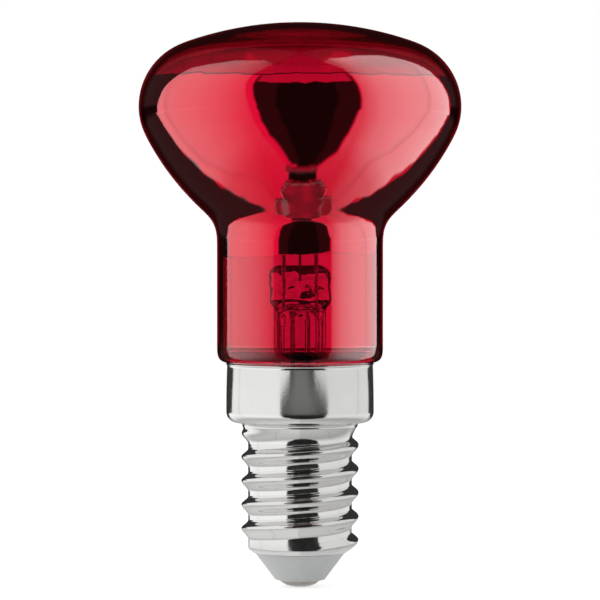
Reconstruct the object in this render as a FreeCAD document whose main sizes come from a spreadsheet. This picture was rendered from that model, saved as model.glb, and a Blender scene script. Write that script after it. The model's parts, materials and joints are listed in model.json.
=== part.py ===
import FreeCAD, Part
import math
import operator
import os
from types import SimpleNamespace

import Sketcher

# Infrared reflector lamp with a small screw cap, standing cap down along Z.
# The origin is on the axis, in the plane where the cap's plain skirt steps in to its thread.
# Lengths are millimetres. Heights and depths are measured from that plane, up and down.

SIZES = {
    # cap sheet
    "skirt_radius": 8.70,
    "skirt_height": 7.00,
    "sheet_wall": 0.25,
    "shoulder_bend": 1.25,
    "collar_radius": 6.70,
    "collar_depth": 1.30,
    "collar_taper": 0.55,
    "thread_radius": 6.92,
    "thread_height": 0.80,
    "thread_pitch": 2.822,
    "thread_flat": 0.03,
    "thread_start": 1.24,
    "groove_base_width": 1.56,
    "groove_crest_width": 0.40,
    "cap_depth": 15.35,
    "foot_radius": 5.50,
    "foot_rise": 0.95,
    "foot_opening": 4.90,
    # insulator and centre contact
    "insulator_radius": 5.36,
    "insulator_tip_radius": 2.97,
    "insulator_drop": 3.20,
    "insulator_seat_height": 1.90,
    "insulator_bore": 0.75,
    "plate_radius": 2.60,
    "plate_thickness": 0.30,
    "plate_stand": 0.10,
    "plate_bore": 0.50,
    "contact_radius": 2.30,
    "contact_bulge": 0.80,
    # blown glass envelope
    "glass_wall": 0.70,
    "bowl_radius": 19.03,
    "bowl_height": 37.13,
    "dome_radius": 40.50,
    "brow_radius": 8.00,
    "hip_radius": 7.30,
    "flank_radius": 31.70,
    "throat_radius": 3.40,
    "neck_radius": 9.78,
    "neck_top": 21.90,
    "tuck_top": 10.05,
    "tuck_radius": 6.00,
    "lip_inner_radius": 0.20,
    "lip_root_radius": 0.40,
    "rim_gap": 0.30,
    "seal_radius": 7.90,
    "seal_height": 3.00,
    # glass stem
    "flange_thickness": 0.70,
    "flare_radius": 2.20,
    "tube_radius": 3.10,
    "tube_wall": 0.70,
    "tube_top": 13.20,
    "pinch_bottom": 14.40,
    "pinch_top": 17.70,
    "pinch_width": 7.20,
    "pinch_thickness": 2.40,
    "pump_bore_radius": 0.55,
    "port_radius": 0.70,
    "port_height": 15.50,
    "exhaust_radius": 1.20,
    "exhaust_wall": 0.45,
    "exhaust_depth": 4.00,
    # wires
    "lead_offset": 1.90,
    "seal_wire_radius": 0.175,
    "inner_lead_radius": 0.25,
    "inner_lead_bend": 0.50,
    "lead_rise": 2.30,
    "lead_spread_rise": 5.00,
    "lead_span": 5.60,
    "lead_grip": 1.20,
    "outer_lead_radius": 0.09,
    "outer_lead_bend": 0.20,
    "side_lead_height": 1.20,
    "centre_lead_turn": 6.00,
    "centre_lead_shift": 3.00,
    "centre_lead_end": 0.30,
    # filament
    "filament_height": 28.00,
    "filament_length": 10.20,
    "coil_radius": 0.42,
    "coil_pitch": 0.85,
    "filament_wire": 0.09,
    "support_radius": 0.15,
    "support_anchor": 1.00,
    # solder, cement and fits
    "solder_width": 1.10,
    "solder_depth": 0.80,
    "cement_height": 3.40,
    "seat_gap": 0.05,
    "wire_gap": 0.02,
}


class Length:
    """A number together with the sheet expression that gives it."""

    def __init__(self, value, text):
        self.value = value
        self.text = text

    def joined(self, sign, act, other):
        second = as_length(other)
        return Length(act(self.value, second.value), f"({self.text} {sign} {second.text})")

    def __add__(self, other):
        return self.joined("+", operator.add, other)

    def __sub__(self, other):
        return self.joined("-", operator.sub, other)

    def __mul__(self, other):
        return self.joined("*", operator.mul, other)

    def __truediv__(self, other):
        return self.joined("/", operator.truediv, other)

    def __neg__(self):
        return self * -1

    def root(self):
        return Length(math.sqrt(self.value), f"sqrt({self.text})")


def as_length(number):
    return number if isinstance(number, Length) else Length(float(number), f"({float(number)})")


def make_sheet(doc):
    """Write every driving size to the sheet and hand back one Length for each."""
    sheet = doc.addObject("Spreadsheet::Sheet", "Sizes")
    for row, (alias, value) in enumerate(SIZES.items(), start=1):
        sheet.set(f"A{row}", alias)
        sheet.set(f"B{row}", str(value))
        sheet.setAlias(f"B{row}", alias)
    doc.recompute()
    return SimpleNamespace(**{alias: Length(value, f"Sizes.{alias}") for alias, value in SIZES.items()})


class Drawing:
    """A sketch on one of a body's own planes, with its sizes tied to the sheet."""

    def __init__(self, body, plane, name, offset=None):
        self.sketch = body.newObject("Sketcher::SketchObject", name)
        base = next(item for item in body.Origin.OriginFeatures if item.Role == plane)
        self.sketch.AttachmentSupport = [(base, "")]
        self.sketch.MapMode = "FlatFace"
        if offset is not None:
            self.sketch.setExpression("AttachmentOffset.Base.z", offset.text)

    def line(self, start, end, construction=False):
        segment = Part.LineSegment(FreeCAD.Vector(*start, 0), FreeCAD.Vector(*end, 0))
        return self.sketch.addGeometry(segment, construction)

    def arc(self, centre, radius, first, last):
        """An arc that runs anticlockwise between two directions, given in radians."""
        circle = Part.Circle(FreeCAD.Vector(*centre, 0), FreeCAD.Vector(0, 0, 1), radius)
        return self.sketch.addGeometry(Part.ArcOfCircle(circle, first, last))

    def circle(self, x, y, radius):
        centre = FreeCAD.Vector(as_length(x).value, as_length(y).value, 0)
        shape = Part.Circle(centre, FreeCAD.Vector(0, 0, 1), radius.value)
        element = self.sketch.addGeometry(shape)
        self.place(element, 3, x, y)
        self.radius(element, radius)
        return element

    def tie(self, kind, *items, size=None):
        """Add a constraint, and bind its size to the sheet where it has one."""
        if size is None:
            return self.sketch.addConstraint(Sketcher.Constraint(kind, *items))
        length = as_length(size)
        index = self.sketch.addConstraint(Sketcher.Constraint(kind, *items, length.value))
        self.sketch.setExpression(f"Constraints[{index}]", length.text)
        return index

    def radius(self, element, size):
        self.tie("Radius", element, size=size)

    def across(self, element, end, x):
        if isinstance(x, Length):
            self.tie("DistanceX", element, end, size=x)
        else:
            self.tie("PointOnObject", element, end, -2)

    def upright(self, element, end, y):
        if isinstance(y, Length):
            self.tie("DistanceY", element, end, size=y)
        else:
            self.tie("PointOnObject", element, end, -1)

    def place(self, element, end, x, y):
        """Fix one point of an element. A plain 0 keeps the point on that axis."""
        self.across(element, end, x)
        self.upright(element, end, y)

    def outline(self, points, closed=True):
        """Straight runs through points (x, y) or (x, y, bend radius), tangent arcs in the bends."""
        corners = [Corner(*point) for point in points]
        count = len(corners)
        for index, corner in enumerate(corners):
            if corner.bend is not None:
                corner.round_off(corners[index - 1], corners[(index + 1) % count])
        runs = [
            self.line(corners[index].leave, corners[(index + 1) % count].enter)
            for index in range(count if closed else count - 1)
        ]
        for index, corner in enumerate(corners):
            before = runs[index - 1] if closed or index > 0 else None
            after = runs[index] if index < len(runs) else None
            self.join(corner, before, after)
        return runs

    def join(self, corner, before, after):
        if corner.bend is None:
            if before is None:
                self.place(after, 1, corner.x, corner.y)
                return
            self.place(before, 2, corner.x, corner.y)
            if after is not None:
                self.tie("Coincident", before, 2, after, 1)
            return
        arc = self.arc(*corner.arc)
        entry, leaving = (1, 2) if corner.left else (2, 1)
        self.tie("Tangent", before, 2, arc, entry)
        self.tie("Tangent", arc, leaving, after, 1)
        self.radius(arc, corner.bend)
        point = self.sketch.addGeometry(Part.Point(FreeCAD.Vector(*corner.at, 0)), True)
        self.place(point, 1, corner.x, corner.y)
        self.tie("PointOnObject", point, 1, before)
        self.tie("PointOnObject", point, 1, after)


class Corner:
    """One point of an outline, with the arc that rounds it off where it has a bend."""

    def __init__(self, x, y, bend=None):
        self.x = x
        self.y = y
        self.bend = bend
        self.at = (as_length(x).value, as_length(y).value)
        self.enter = self.at
        self.leave = self.at

    def round_off(self, before, after):
        radius = self.bend.value
        came = direction(before.at, self.at)
        goes = direction(self.at, after.at)
        cross = came[0] * goes[1] - came[1] * goes[0]
        turn = math.atan2(cross, came[0] * goes[0] + came[1] * goes[1])
        reach = radius * math.tan(abs(turn) / 2)
        self.left = turn > 0
        side = 1 if self.left else -1
        self.enter = (self.at[0] - came[0] * reach, self.at[1] - came[1] * reach)
        self.leave = (self.at[0] + goes[0] * reach, self.at[1] + goes[1] * reach)
        centre = (self.enter[0] - side * came[1] * radius, self.enter[1] + side * came[0] * radius)
        ends = [math.atan2(p[1] - centre[1], p[0] - centre[0]) for p in (self.enter, self.leave)]
        first, last = ends if self.left else ends[::-1]
        self.arc = (centre, radius, first, last)


def direction(start, end):
    length = math.dist(start, end)
    return (end[0] - start[0]) / length, (end[1] - start[1]) / length


def new_body(doc, name):
    body = doc.addObject("PartDesign::Body", name)
    body.Label = name
    return body


def turned(body, drawing, kind="Revolution"):
    """Turn a drawing about the lamp's axis, to add or, as a Groove, to cut."""
    feature = body.newObject(f"PartDesign::{kind}", kind)
    feature.Profile = drawing.sketch
    feature.ReferenceAxis = (drawing.sketch, ["V_Axis"])
    feature.Angle = 360
    return feature


def turned_piece(doc, name, points):
    """A piece turned about the lamp's axis from one closed outline of (radius, height) points."""
    body = new_body(doc, name)
    drawing = Drawing(body, "XZ_Plane", f"{name}_profile")
    drawing.outline(points)
    turned(body, drawing)
    return body


def drilled(body, name, height, circles, depth, upward=False):
    """Cut round holes (x, y, radius) of one depth, up or down from a height."""
    drawing = Drawing(body, "XY_Plane", f"{name}_circles", height)
    for x, y, radius in circles:
        drawing.circle(x, y, radius)
    pocket = body.newObject("PartDesign::Pocket", name)
    pocket.Profile = drawing.sketch
    pocket.setExpression("Length", depth.text)
    pocket.Reversed = upward
    return pocket


def wire_piece(doc, name, plane, plane_offset, points, radius, start):
    """A round wire along a bent path. It starts upright at start, given as (x, y, z)."""
    body = new_body(doc, name)
    path = Drawing(body, plane, f"{name}_path", plane_offset)
    path.outline(points, closed=False)
    return swept(body, path, radius, start)


def swept(body, path, radius, start):
    x, y, z = start
    section = Drawing(body, "XY_Plane", f"{body.Name}_section", z)
    section.circle(x, y, radius)
    pipe = body.newObject("PartDesign::AdditivePipe", f"{body.Name}_sweep")
    pipe.Profile = section.sketch
    pipe.Spine = (path.sketch, [])
    return body


def draw_thread_ridge(drawing, s, height):
    """One ridge of the thread's round wave, on the left of the axis. Crest and roots are tangent arcs."""
    half = s.thread_pitch / 2
    bend = (half * half + s.thread_height * s.thread_height) / (s.thread_height * 4)
    crest_x = bend - s.thread_radius
    root_x = s.thread_height - s.thread_radius - bend
    core_x = -core_radius(s)
    deep_x = core_x + s.sheet_wall / 2
    slope = math.atan2(half.value, (crest_x - root_x).value)
    reach = math.acos((core_x - root_x).value / bend.value)
    spread = half.value - bend.value * math.sin(reach)

    crest_at = point(crest_x, height)
    crest = drawing.arc(crest_at, bend.value, math.pi - slope, math.pi + slope)
    drawing.place(crest, 3, crest_x, height)
    drawing.radius(crest, bend)
    upper_at = point(root_x, height + half)
    upper = drawing.arc(upper_at, bend.value, -slope, -reach)
    drawing.place(upper, 3, root_x, height + half)
    drawing.tie("Tangent", crest, 1, upper, 1)
    lower_at = point(root_x, height - half)
    lower = drawing.arc(lower_at, bend.value, reach, slope)
    drawing.place(lower, 3, root_x, height - half)
    drawing.tie("Tangent", crest, 2, lower, 2)

    top = height.value + spread
    bottom = height.value - spread
    upper_run = drawing.line((core_x.value, top), (deep_x.value, top))
    back = drawing.line((deep_x.value, top), (deep_x.value, bottom))
    lower_run = drawing.line((deep_x.value, bottom), (core_x.value, bottom))
    drawing.across(upper, 2, core_x)
    drawing.across(lower, 1, core_x)
    drawing.tie("Coincident", upper, 2, upper_run, 1)
    drawing.tie("Coincident", upper_run, 2, back, 1)
    drawing.tie("Coincident", back, 2, lower_run, 1)
    drawing.tie("Coincident", lower_run, 2, lower, 1)
    drawing.tie("Horizontal", upper_run)
    drawing.tie("Horizontal", lower_run)
    drawing.across(back, 1, deep_x)
    drawing.tie("Vertical", back)


def draw_thread_groove(drawing, s, height):
    """The hollow that the rolled ridge leaves on the sheet's inner side, on the right of the axis."""
    bore = core_radius(s) - s.sheet_wall
    crest = s.thread_radius - s.sheet_wall
    base = s.groove_base_width / 2
    top = s.groove_crest_width / 2
    drawing.outline([
        (bore - s.sheet_wall, height - base),
        (bore, height - base),
        (crest, height - top),
        (crest, height + top),
        (bore, height + base),
        (bore - s.sheet_wall, height + base),
    ])


def core_radius(s):
    """Radius of the cap sheet between two turns of the thread."""
    return s.thread_radius - s.thread_height + s.thread_flat


def helix(body, drawing, kind, pitch, height):
    """Wind a drawing down round the lamp's axis as a right-hand thread."""
    feature = body.newObject(f"PartDesign::{kind}", kind)
    feature.Profile = drawing.sketch
    feature.ReferenceAxis = (drawing.sketch, ["V_Axis"])
    feature.Mode = 0
    feature.setExpression("Pitch", pitch.text)
    feature.setExpression("Height", height.text)
    feature.Angle = 0
    feature.Growth = 0
    feature.LeftHanded = 0
    feature.Reversed = 1
    return feature


def make_cap_shell(doc, s):
    """Drawn sheet: plain skirt, shoulder, collar, rolled thread and a foot turned in at the end."""
    body = new_body(doc, "cap_shell")
    wall = s.sheet_wall
    core = core_radius(s)
    bore = core - wall
    taper_end = -(s.collar_depth + s.collar_taper)
    foot_slope = s.foot_rise / (s.thread_radius - s.foot_radius)
    profile = Drawing(body, "XZ_Plane", "cap_shell_profile")
    profile.outline([
        (s.skirt_radius, s.skirt_height),
        (s.skirt_radius, 0, s.shoulder_bend),
        (s.collar_radius, 0, wall),
        (s.collar_radius, -s.collar_depth),
        (core, taper_end),
        (core, foot_slope * (core - s.foot_radius) - s.cap_depth),
        (s.foot_radius, -s.cap_depth),
        (s.foot_opening, -s.cap_depth),
        (s.foot_opening, wall - s.cap_depth),
        (s.foot_radius, wall - s.cap_depth),
        (bore, foot_slope * (bore - s.foot_radius) + wall - s.cap_depth),
        (bore, taper_end),
        (s.collar_radius - wall, -s.collar_depth),
        (s.collar_radius - wall, wall, wall * 2),
        (s.skirt_radius - wall, wall, s.shoulder_bend - wall),
        (s.skirt_radius - wall, s.skirt_height),
    ])
    turned(body, profile)
    ridge = Drawing(body, "XZ_Plane", "thread_ridge")
    draw_thread_ridge(ridge, s, -s.thread_start)
    helix(body, ridge, "AdditiveHelix", s.thread_pitch, s.cap_depth - s.thread_start)
    groove_start = s.thread_start + s.thread_pitch / 4
    groove_end = s.cap_depth - s.foot_rise - s.thread_pitch
    groove = Drawing(body, "YZ_Plane", "thread_groove")
    draw_thread_groove(groove, s, -groove_start)
    helix(body, groove, "SubtractiveHelix", s.thread_pitch, groove_end - groove_start)
    outside = s.thread_radius + s.thread_height
    below = -(s.cap_depth + s.thread_pitch)
    foot = Drawing(body, "XZ_Plane", "foot_trim")
    foot.outline([
        (s.foot_radius, -s.cap_depth),
        (outside, foot_slope * (outside - s.foot_radius) - s.cap_depth),
        (outside, below),
        (s.foot_radius, below),
    ])
    turned(body, foot, "Groove")
    return body


def foot_inside(s):
    """Height of the inner face of the foot's turned-in lip."""
    return s.sheet_wall - s.cap_depth


def plate_top(s):
    return s.plate_thickness - s.plate_stand - s.insulator_drop - s.cap_depth


def make_cap_insulator(doc, s):
    """Fused glass cone that clasps the lip of the foot and holds the contact plate."""
    flange = s.foot_radius - s.seat_gap
    waist = s.foot_opening - s.seat_gap
    top = foot_inside(s) + s.insulator_seat_height
    bottom = -(s.cap_depth + s.insulator_drop)
    recess = s.plate_radius + s.seat_gap
    return turned_piece(doc, "cap_insulator", [
        (s.insulator_bore, top),
        (flange, top),
        (flange, foot_inside(s)),
        (waist, foot_inside(s)),
        (waist, -s.cap_depth),
        (s.insulator_radius, -s.cap_depth),
        (s.insulator_tip_radius, bottom),
        (recess, bottom),
        (recess, plate_top(s)),
        (s.insulator_bore, plate_top(s)),
    ])


def make_contact_plate(doc, s):
    top = plate_top(s)
    bottom = top - s.plate_thickness
    return turned_piece(doc, "contact_plate", [
        (s.plate_bore, top),
        (s.plate_radius, top),
        (s.plate_radius, bottom),
        (s.plate_bore, bottom),
    ])


def make_contact_solder(doc, s):
    """Rounded solder contact with a stub through the plate, round the end of the centre lead."""
    body = new_body(doc, "contact_solder")
    top = plate_top(s)
    face = top - s.plate_thickness
    tip = face - s.contact_bulge
    stub = s.plate_bore - s.seat_gap
    bore = s.outer_lead_radius + s.wire_gap
    bore_end = face - s.centre_lead_end
    drawing = Drawing(body, "XZ_Plane", "contact_profile")
    runs = drawing.outline([
        (s.contact_radius, face),
        (stub, face),
        (stub, top),
        (bore, top),
        (bore, bore_end),
        (0, bore_end),
        (0, tip),
    ], closed=False)
    rise = s.contact_bulge.value
    bulge = (s.contact_radius.value ** 2 + rise ** 2) / (2 * rise)
    centre = (0, tip.value + bulge)
    edge = math.atan2(face.value - centre[1], s.contact_radius.value)
    dome = drawing.arc(centre, bulge, -math.pi / 2, edge)
    drawing.across(dome, 3, 0)
    drawing.tie("Coincident", dome, 1, runs[-1], 2)
    drawing.tie("Coincident", dome, 2, runs[0], 1)
    turned(body, drawing)
    return body


def make_glass_envelope(doc, s):
    """Blown bowl and neck with one wall all over, open at the seal."""
    body = new_body(doc, "glass_envelope")
    drawing = Drawing(body, "XZ_Plane", "glass_profile")
    outer_dome, outer_seal = draw_glass_face(drawing, s, s.glass_wall * 0)
    inner_dome, inner_seal = draw_glass_face(drawing, s, s.glass_wall)
    bowl_top = s.bowl_height.value + s.brow_radius.value
    axis = drawing.line((0, bowl_top), (0, s.bowl_height.value))
    drawing.tie("Coincident", axis, 1, outer_dome, 2)
    drawing.tie("Coincident", axis, 2, inner_dome, 2)
    seal_x = s.seal_radius.value
    rim = drawing.line((seal_x, s.seal_height.value), (seal_x - s.glass_wall.value, s.seal_height.value))
    drawing.tie("Coincident", rim, 1, outer_seal, 2)
    drawing.tie("Coincident", rim, 2, inner_seal, 2)
    turned(body, drawing)
    return body


def draw_glass_face(drawing, s, inset):
    """One face of the glass, moved inwards by inset: tangent arcs and runs from dome to seal."""
    bowl = s.bowl_radius - inset
    dome_radius = s.dome_radius - inset
    brow_radius = s.brow_radius - inset
    hip_radius = s.hip_radius - inset
    flank_radius = s.flank_radius - inset
    throat_radius = s.throat_radius + inset
    neck_radius = s.neck_radius - inset
    tuck_radius = s.tuck_radius - inset
    lip_radius = s.glass_wall + s.lip_inner_radius - inset
    lip_height = s.skirt_height + s.rim_gap + inset
    root_radius = s.lip_root_radius + inset
    seal_radius = s.seal_radius - inset

    brow_at = point(bowl - brow_radius, s.bowl_height)
    hip_at = point(bowl - hip_radius, s.bowl_height)
    throat_at = point(neck_radius + throat_radius, s.neck_top)
    dome_drop = math.sqrt((dome_radius - brow_radius).value ** 2 - brow_at[0] ** 2)
    dome_at = (0, brow_at[1] - dome_drop)
    flank_at = inner_meeting(
        hip_at, (flank_radius - hip_radius).value, throat_at, (flank_radius + throat_radius).value
    )
    tuck_at = point(neck_radius - tuck_radius, s.tuck_top)
    lip_arm = (tuck_radius - lip_radius).value
    lip_drop = (s.tuck_top - lip_height - lip_radius).value
    tuck_turn = math.asin(lip_drop / lip_arm)
    lip_at = (tuck_at[0] + lip_arm * math.cos(tuck_turn), tuck_at[1] - lip_drop)
    root_at = point(seal_radius + root_radius, lip_height - root_radius)

    dome = drawing.arc(dome_at, dome_radius.value, heading(dome_at, brow_at), math.pi / 2)
    brow = drawing.arc(brow_at, brow_radius.value, 0, heading(dome_at, brow_at))
    hip = drawing.arc(hip_at, hip_radius.value, heading(flank_at, hip_at), 0)
    flank = drawing.arc(
        flank_at, flank_radius.value, heading(flank_at, throat_at), heading(flank_at, hip_at)
    )
    throat = drawing.arc(throat_at, throat_radius.value, heading(throat_at, flank_at), math.pi)
    neck = drawing.line(point(neck_radius, s.neck_top), point(neck_radius, s.tuck_top))
    tuck = drawing.arc(tuck_at, tuck_radius.value, -tuck_turn, 0)
    lip = drawing.arc(lip_at, lip_radius.value, -math.pi / 2, -tuck_turn)
    flat = drawing.line((lip_at[0], lip_height.value), (root_at[0], lip_height.value))
    root = drawing.arc(root_at, root_radius.value, math.pi / 2, math.pi)
    seal = drawing.line((seal_radius.value, root_at[1]), point(seal_radius, s.seal_height))

    drawing.across(dome, 3, 0)
    drawing.across(dome, 2, 0)
    drawing.radius(dome, dome_radius)
    drawing.tie("Tangent", dome, 1, brow, 2)
    drawing.place(brow, 3, bowl - brow_radius, s.bowl_height)
    drawing.radius(brow, brow_radius)
    drawing.tie("Tangent", brow, 1, hip, 2)
    drawing.place(hip, 3, bowl - hip_radius, s.bowl_height)
    drawing.tie("Tangent", hip, 1, flank, 2)
    drawing.radius(flank, flank_radius)
    drawing.tie("Tangent", flank, 1, throat, 1)
    drawing.place(throat, 3, neck_radius + throat_radius, s.neck_top)
    drawing.tie("Tangent", throat, 2, neck, 1)
    drawing.tie("Vertical", neck)
    drawing.place(neck, 2, neck_radius, s.tuck_top)
    drawing.tie("Tangent", neck, 2, tuck, 2)
    drawing.radius(tuck, tuck_radius)
    drawing.tie("Tangent", tuck, 1, lip, 2)
    drawing.radius(lip, lip_radius)
    drawing.tie("Tangent", lip, 1, flat, 1)
    drawing.tie("Horizontal", flat)
    drawing.upright(flat, 2, lip_height)
    drawing.tie("Tangent", flat, 2, root, 1)
    drawing.radius(root, root_radius)
    drawing.tie("Tangent", root, 2, seal, 1)
    drawing.tie("Vertical", seal)
    drawing.place(seal, 2, seal_radius, s.seal_height)
    return dome, seal


def point(x, y):
    return x.value, y.value


def heading(start, end):
    return math.atan2(end[1] - start[1], end[0] - start[0])


def inner_meeting(first, first_radius, second, second_radius):
    """Where two circles meet, on the side nearer the lamp's axis."""
    apart = math.dist(first, second)
    along = (first_radius ** 2 - second_radius ** 2 + apart ** 2) / (2 * apart)
    aside = math.sqrt(first_radius ** 2 - along ** 2)
    ahead = direction(first, second)
    middle = (first[0] + ahead[0] * along, first[1] + ahead[1] * along)
    meetings = [(middle[0] + turn * ahead[1] * aside, middle[1] - turn * ahead[0] * aside) for turn in (1, -1)]
    return min(meetings)


def support_reach(s):
    """Distance from the coil's axis to the middle of the support wire that loops round it."""
    return s.coil_radius + s.filament_wire + s.seat_gap + s.support_radius


def make_stem_glass(doc, s):
    """Flared tube, pressed flat at its top round the two seal wires, with the pump port."""
    body = new_body(doc, "stem_glass")
    inside = s.tube_radius - s.tube_wall
    underside = s.seal_height - s.flange_thickness
    profile = Drawing(body, "XZ_Plane", "flare_profile")
    profile.outline([
        (s.seal_radius, s.seal_height),
        (s.tube_radius, s.seal_height, s.flare_radius),
        (s.tube_radius, s.tube_top),
        (inside, s.tube_top),
        (inside, underside, s.flare_radius + s.tube_wall),
        (s.seal_radius, underside),
    ])
    turned(body, profile)

    ring = Drawing(body, "XY_Plane", "press_ring", s.tube_top)
    draw_ring(ring, s.tube_radius)
    blade = Drawing(body, "XY_Plane", "press_blade", s.pinch_bottom)
    draw_slot(blade, s.pinch_width, s.pinch_thickness)
    press = body.newObject("PartDesign::AdditiveLoft", "press")
    press.Profile = ring.sketch
    press.Sections = [blade.sketch]
    press.Ruled = True

    upper = Drawing(body, "XY_Plane", "pinch_outline", s.pinch_bottom)
    draw_slot(upper, s.pinch_width, s.pinch_thickness)
    pinch = body.newObject("PartDesign::Pad", "pinch")
    pinch.Profile = upper.sketch
    pinch.setExpression("Length", (s.pinch_top - s.pinch_bottom).text)

    bore = s.seal_wire_radius + s.wire_gap
    wires = [(s.lead_offset * side, 0, bore) for side in (-1, 1)]
    drilled(body, "seal_bores", s.tube_top, wires, s.pinch_top - s.tube_top, upward=True)
    pump = [(0, 0, s.pump_bore_radius)]
    drilled(body, "pump_bore", s.tube_top, pump, s.port_height - s.tube_top, upward=True)
    anchor = [(0, -support_reach(s), s.support_radius + s.wire_gap)]
    drilled(body, "anchor_bore", s.pinch_top, anchor, s.support_anchor)
    port = Drawing(body, "XZ_Plane", "port_circle")
    port.circle(0, s.port_height, s.port_radius)
    cross = body.newObject("PartDesign::Pocket", "pump_port")
    cross.Profile = port.sketch
    cross.Midplane = True
    cross.setExpression("Length", (s.pinch_thickness * 2).text)
    return body


def draw_ring(drawing, radius):
    """A circle about the axis in four equal arcs, so that its corners face those of a slot."""
    quarter = math.pi / 2
    corner = radius * math.sqrt(0.5)
    arcs = [drawing.arc((0, 0), radius.value, quarter * (k - 0.5), quarter * (k + 0.5)) for k in range(4)]
    drawing.radius(arcs[0], radius)
    drawing.place(arcs[0], 3, 0, 0)
    drawing.across(arcs[0], 1, corner)
    for arc, after, side in zip(arcs, arcs[1:], (1, -1, -1)):
        drawing.across(arc, 2, corner * side)
        drawing.tie("Coincident", arc, 2, after, 1)
        drawing.place(after, 3, 0, 0)
    drawing.across(arcs[-1], 2, corner)


def draw_slot(drawing, width, thickness):
    """A flat outline with round ends, along X. Its arcs and runs follow the order of draw_ring."""
    end = thickness / 2
    reach = width / 2 - end
    quarter = math.pi / 2
    right = drawing.arc((reach.value, 0), end.value, -quarter, quarter)
    back = drawing.line((reach.value, end.value), (-reach.value, end.value))
    left = drawing.arc((-reach.value, 0), end.value, quarter, 3 * quarter)
    front = drawing.line((-reach.value, -end.value), (reach.value, -end.value))
    for arc, side in ((right, 1), (left, -1)):
        drawing.place(arc, 3, reach * side, 0)
        drawing.radius(arc, end)
    drawing.tie("Tangent", right, 2, back, 1)
    drawing.tie("Tangent", back, 2, left, 1)
    drawing.tie("Tangent", left, 2, front, 1)
    drawing.tie("Tangent", front, 2, right, 1)


def make_exhaust_tube(doc, s):
    """Thin pump tube under the pinch, melted shut at its lower end."""
    inside = s.exhaust_radius - s.exhaust_wall
    return turned_piece(doc, "exhaust_tube", [
        (inside, s.tube_top),
        (s.exhaust_radius, s.tube_top),
        (s.exhaust_radius, -s.exhaust_depth, s.exhaust_wall * 2),
        (0, -s.exhaust_depth),
        (0, s.exhaust_wall - s.exhaust_depth),
        (inside, s.exhaust_wall - s.exhaust_depth, s.exhaust_wall),
    ])


def make_seal_wire(doc, s, name, side):
    wire = doc.addObject("Part::Cylinder", name)
    wire.Label = name
    wire.setExpression("Radius", s.seal_wire_radius.text)
    wire.setExpression("Height", (s.pinch_top - s.tube_top).text)
    wire.setExpression("Placement.Base.x", (s.lead_offset * side).text)
    wire.setExpression("Placement.Base.z", s.tube_top.text)
    return wire


def make_inner_lead(doc, s, name, side):
    """Stiff wire that spreads out from the pinch and ends inside one end of the coil."""
    foot = s.lead_offset * side
    span = s.lead_span * side
    spread = s.pinch_top + s.lead_rise
    points = [
        (foot, s.pinch_top),
        (foot, spread, s.inner_lead_bend),
        (span, spread + s.lead_spread_rise, s.inner_lead_bend),
        (span, s.filament_height, s.inner_lead_bend),
        (span - s.lead_grip * side, s.filament_height),
    ]
    start = (foot, 0, s.pinch_top)
    return wire_piece(doc, name, "XZ_Plane", None, points, s.inner_lead_radius, start)


def side_lead_reach(s):
    """How far back the side lead rises, midway between glass seal and skirt, and where it ends on the rim."""
    between = (s.seal_radius + s.skirt_radius - s.sheet_wall) / 2
    aside = s.lead_offset * s.lead_offset
    return (between * between - aside).root(), (s.skirt_radius * s.skirt_radius - aside).root()


def make_side_lead(doc, s):
    """Thin wire from the left seal wire, out under the flange and up to the skirt's rim."""
    behind, rim = side_lead_reach(s)
    over = s.skirt_height + s.rim_gap / 2
    points = [
        (0, s.tube_top),
        (0, s.side_lead_height, s.outer_lead_bend),
        (behind, s.side_lead_height, s.outer_lead_bend),
        (behind, over, s.outer_lead_bend),
        (rim, over),
    ]
    start = (-s.lead_offset, 0, s.tube_top)
    return wire_piece(doc, "side_lead", "YZ_Plane", -s.lead_offset, points, s.outer_lead_radius, start)


def make_centre_lead(doc, s):
    """Thin wire from the right seal wire, down past the pump tube to the centre contact."""
    end = plate_top(s) - s.plate_thickness - s.centre_lead_end
    points = [
        (s.lead_offset, s.tube_top),
        (s.lead_offset, -s.centre_lead_turn, s.outer_lead_bend),
        (0, -(s.centre_lead_turn + s.centre_lead_shift), s.outer_lead_bend),
        (0, end),
    ]
    start = (s.lead_offset, 0, s.tube_top)
    return wire_piece(doc, "centre_lead", "XZ_Plane", None, points, s.outer_lead_radius, start)


def make_filament(doc, s):
    """Tungsten coil along X. Its wire has six flats in place of a round section."""
    body = new_body(doc, "filament")
    start = -s.filament_length / 2
    middle = s.filament_height + s.coil_radius
    drawing = Drawing(body, "XZ_Plane", "filament_section")
    axis = drawing.line(
        (start.value, s.filament_height.value), (-start.value, s.filament_height.value), construction=True
    )
    drawing.place(axis, 1, start, s.filament_height)
    drawing.place(axis, 2, -start, s.filament_height)
    turns = [math.radians(60 * side) for side in range(6)]
    drawing.outline([
        (start + s.filament_wire * math.cos(turn), middle + s.filament_wire * math.sin(turn)) for turn in turns
    ])
    coil = body.newObject("PartDesign::AdditiveHelix", "coil")
    coil.Profile = drawing.sketch
    coil.ReferenceAxis = (drawing.sketch, ["Axis0"])
    coil.Mode = 0
    coil.setExpression("Pitch", s.coil_pitch.text)
    coil.setExpression("Height", s.filament_length.text)
    coil.Angle = 0
    coil.Growth = 0
    return body


def make_filament_support(doc, s):
    """Wire anchored in the pinch, with an open loop round the middle of the coil."""
    body = new_body(doc, "filament_support")
    reach = support_reach(s)
    foot = s.pinch_top - s.support_anchor
    path = Drawing(body, "YZ_Plane", "support_path")
    post = path.line((-reach.value, foot.value), (-reach.value, s.filament_height.value))
    loop = path.arc((0, s.filament_height.value), reach.value, -math.pi / 2, math.pi)
    path.place(post, 1, -reach, foot)
    path.tie("Vertical", post)
    path.tie("Tangent", post, 2, loop, 2)
    path.place(loop, 3, 0, s.filament_height)
    path.across(loop, 1, 0)
    return swept(body, path, s.support_radius, (0, -reach, foot))


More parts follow.
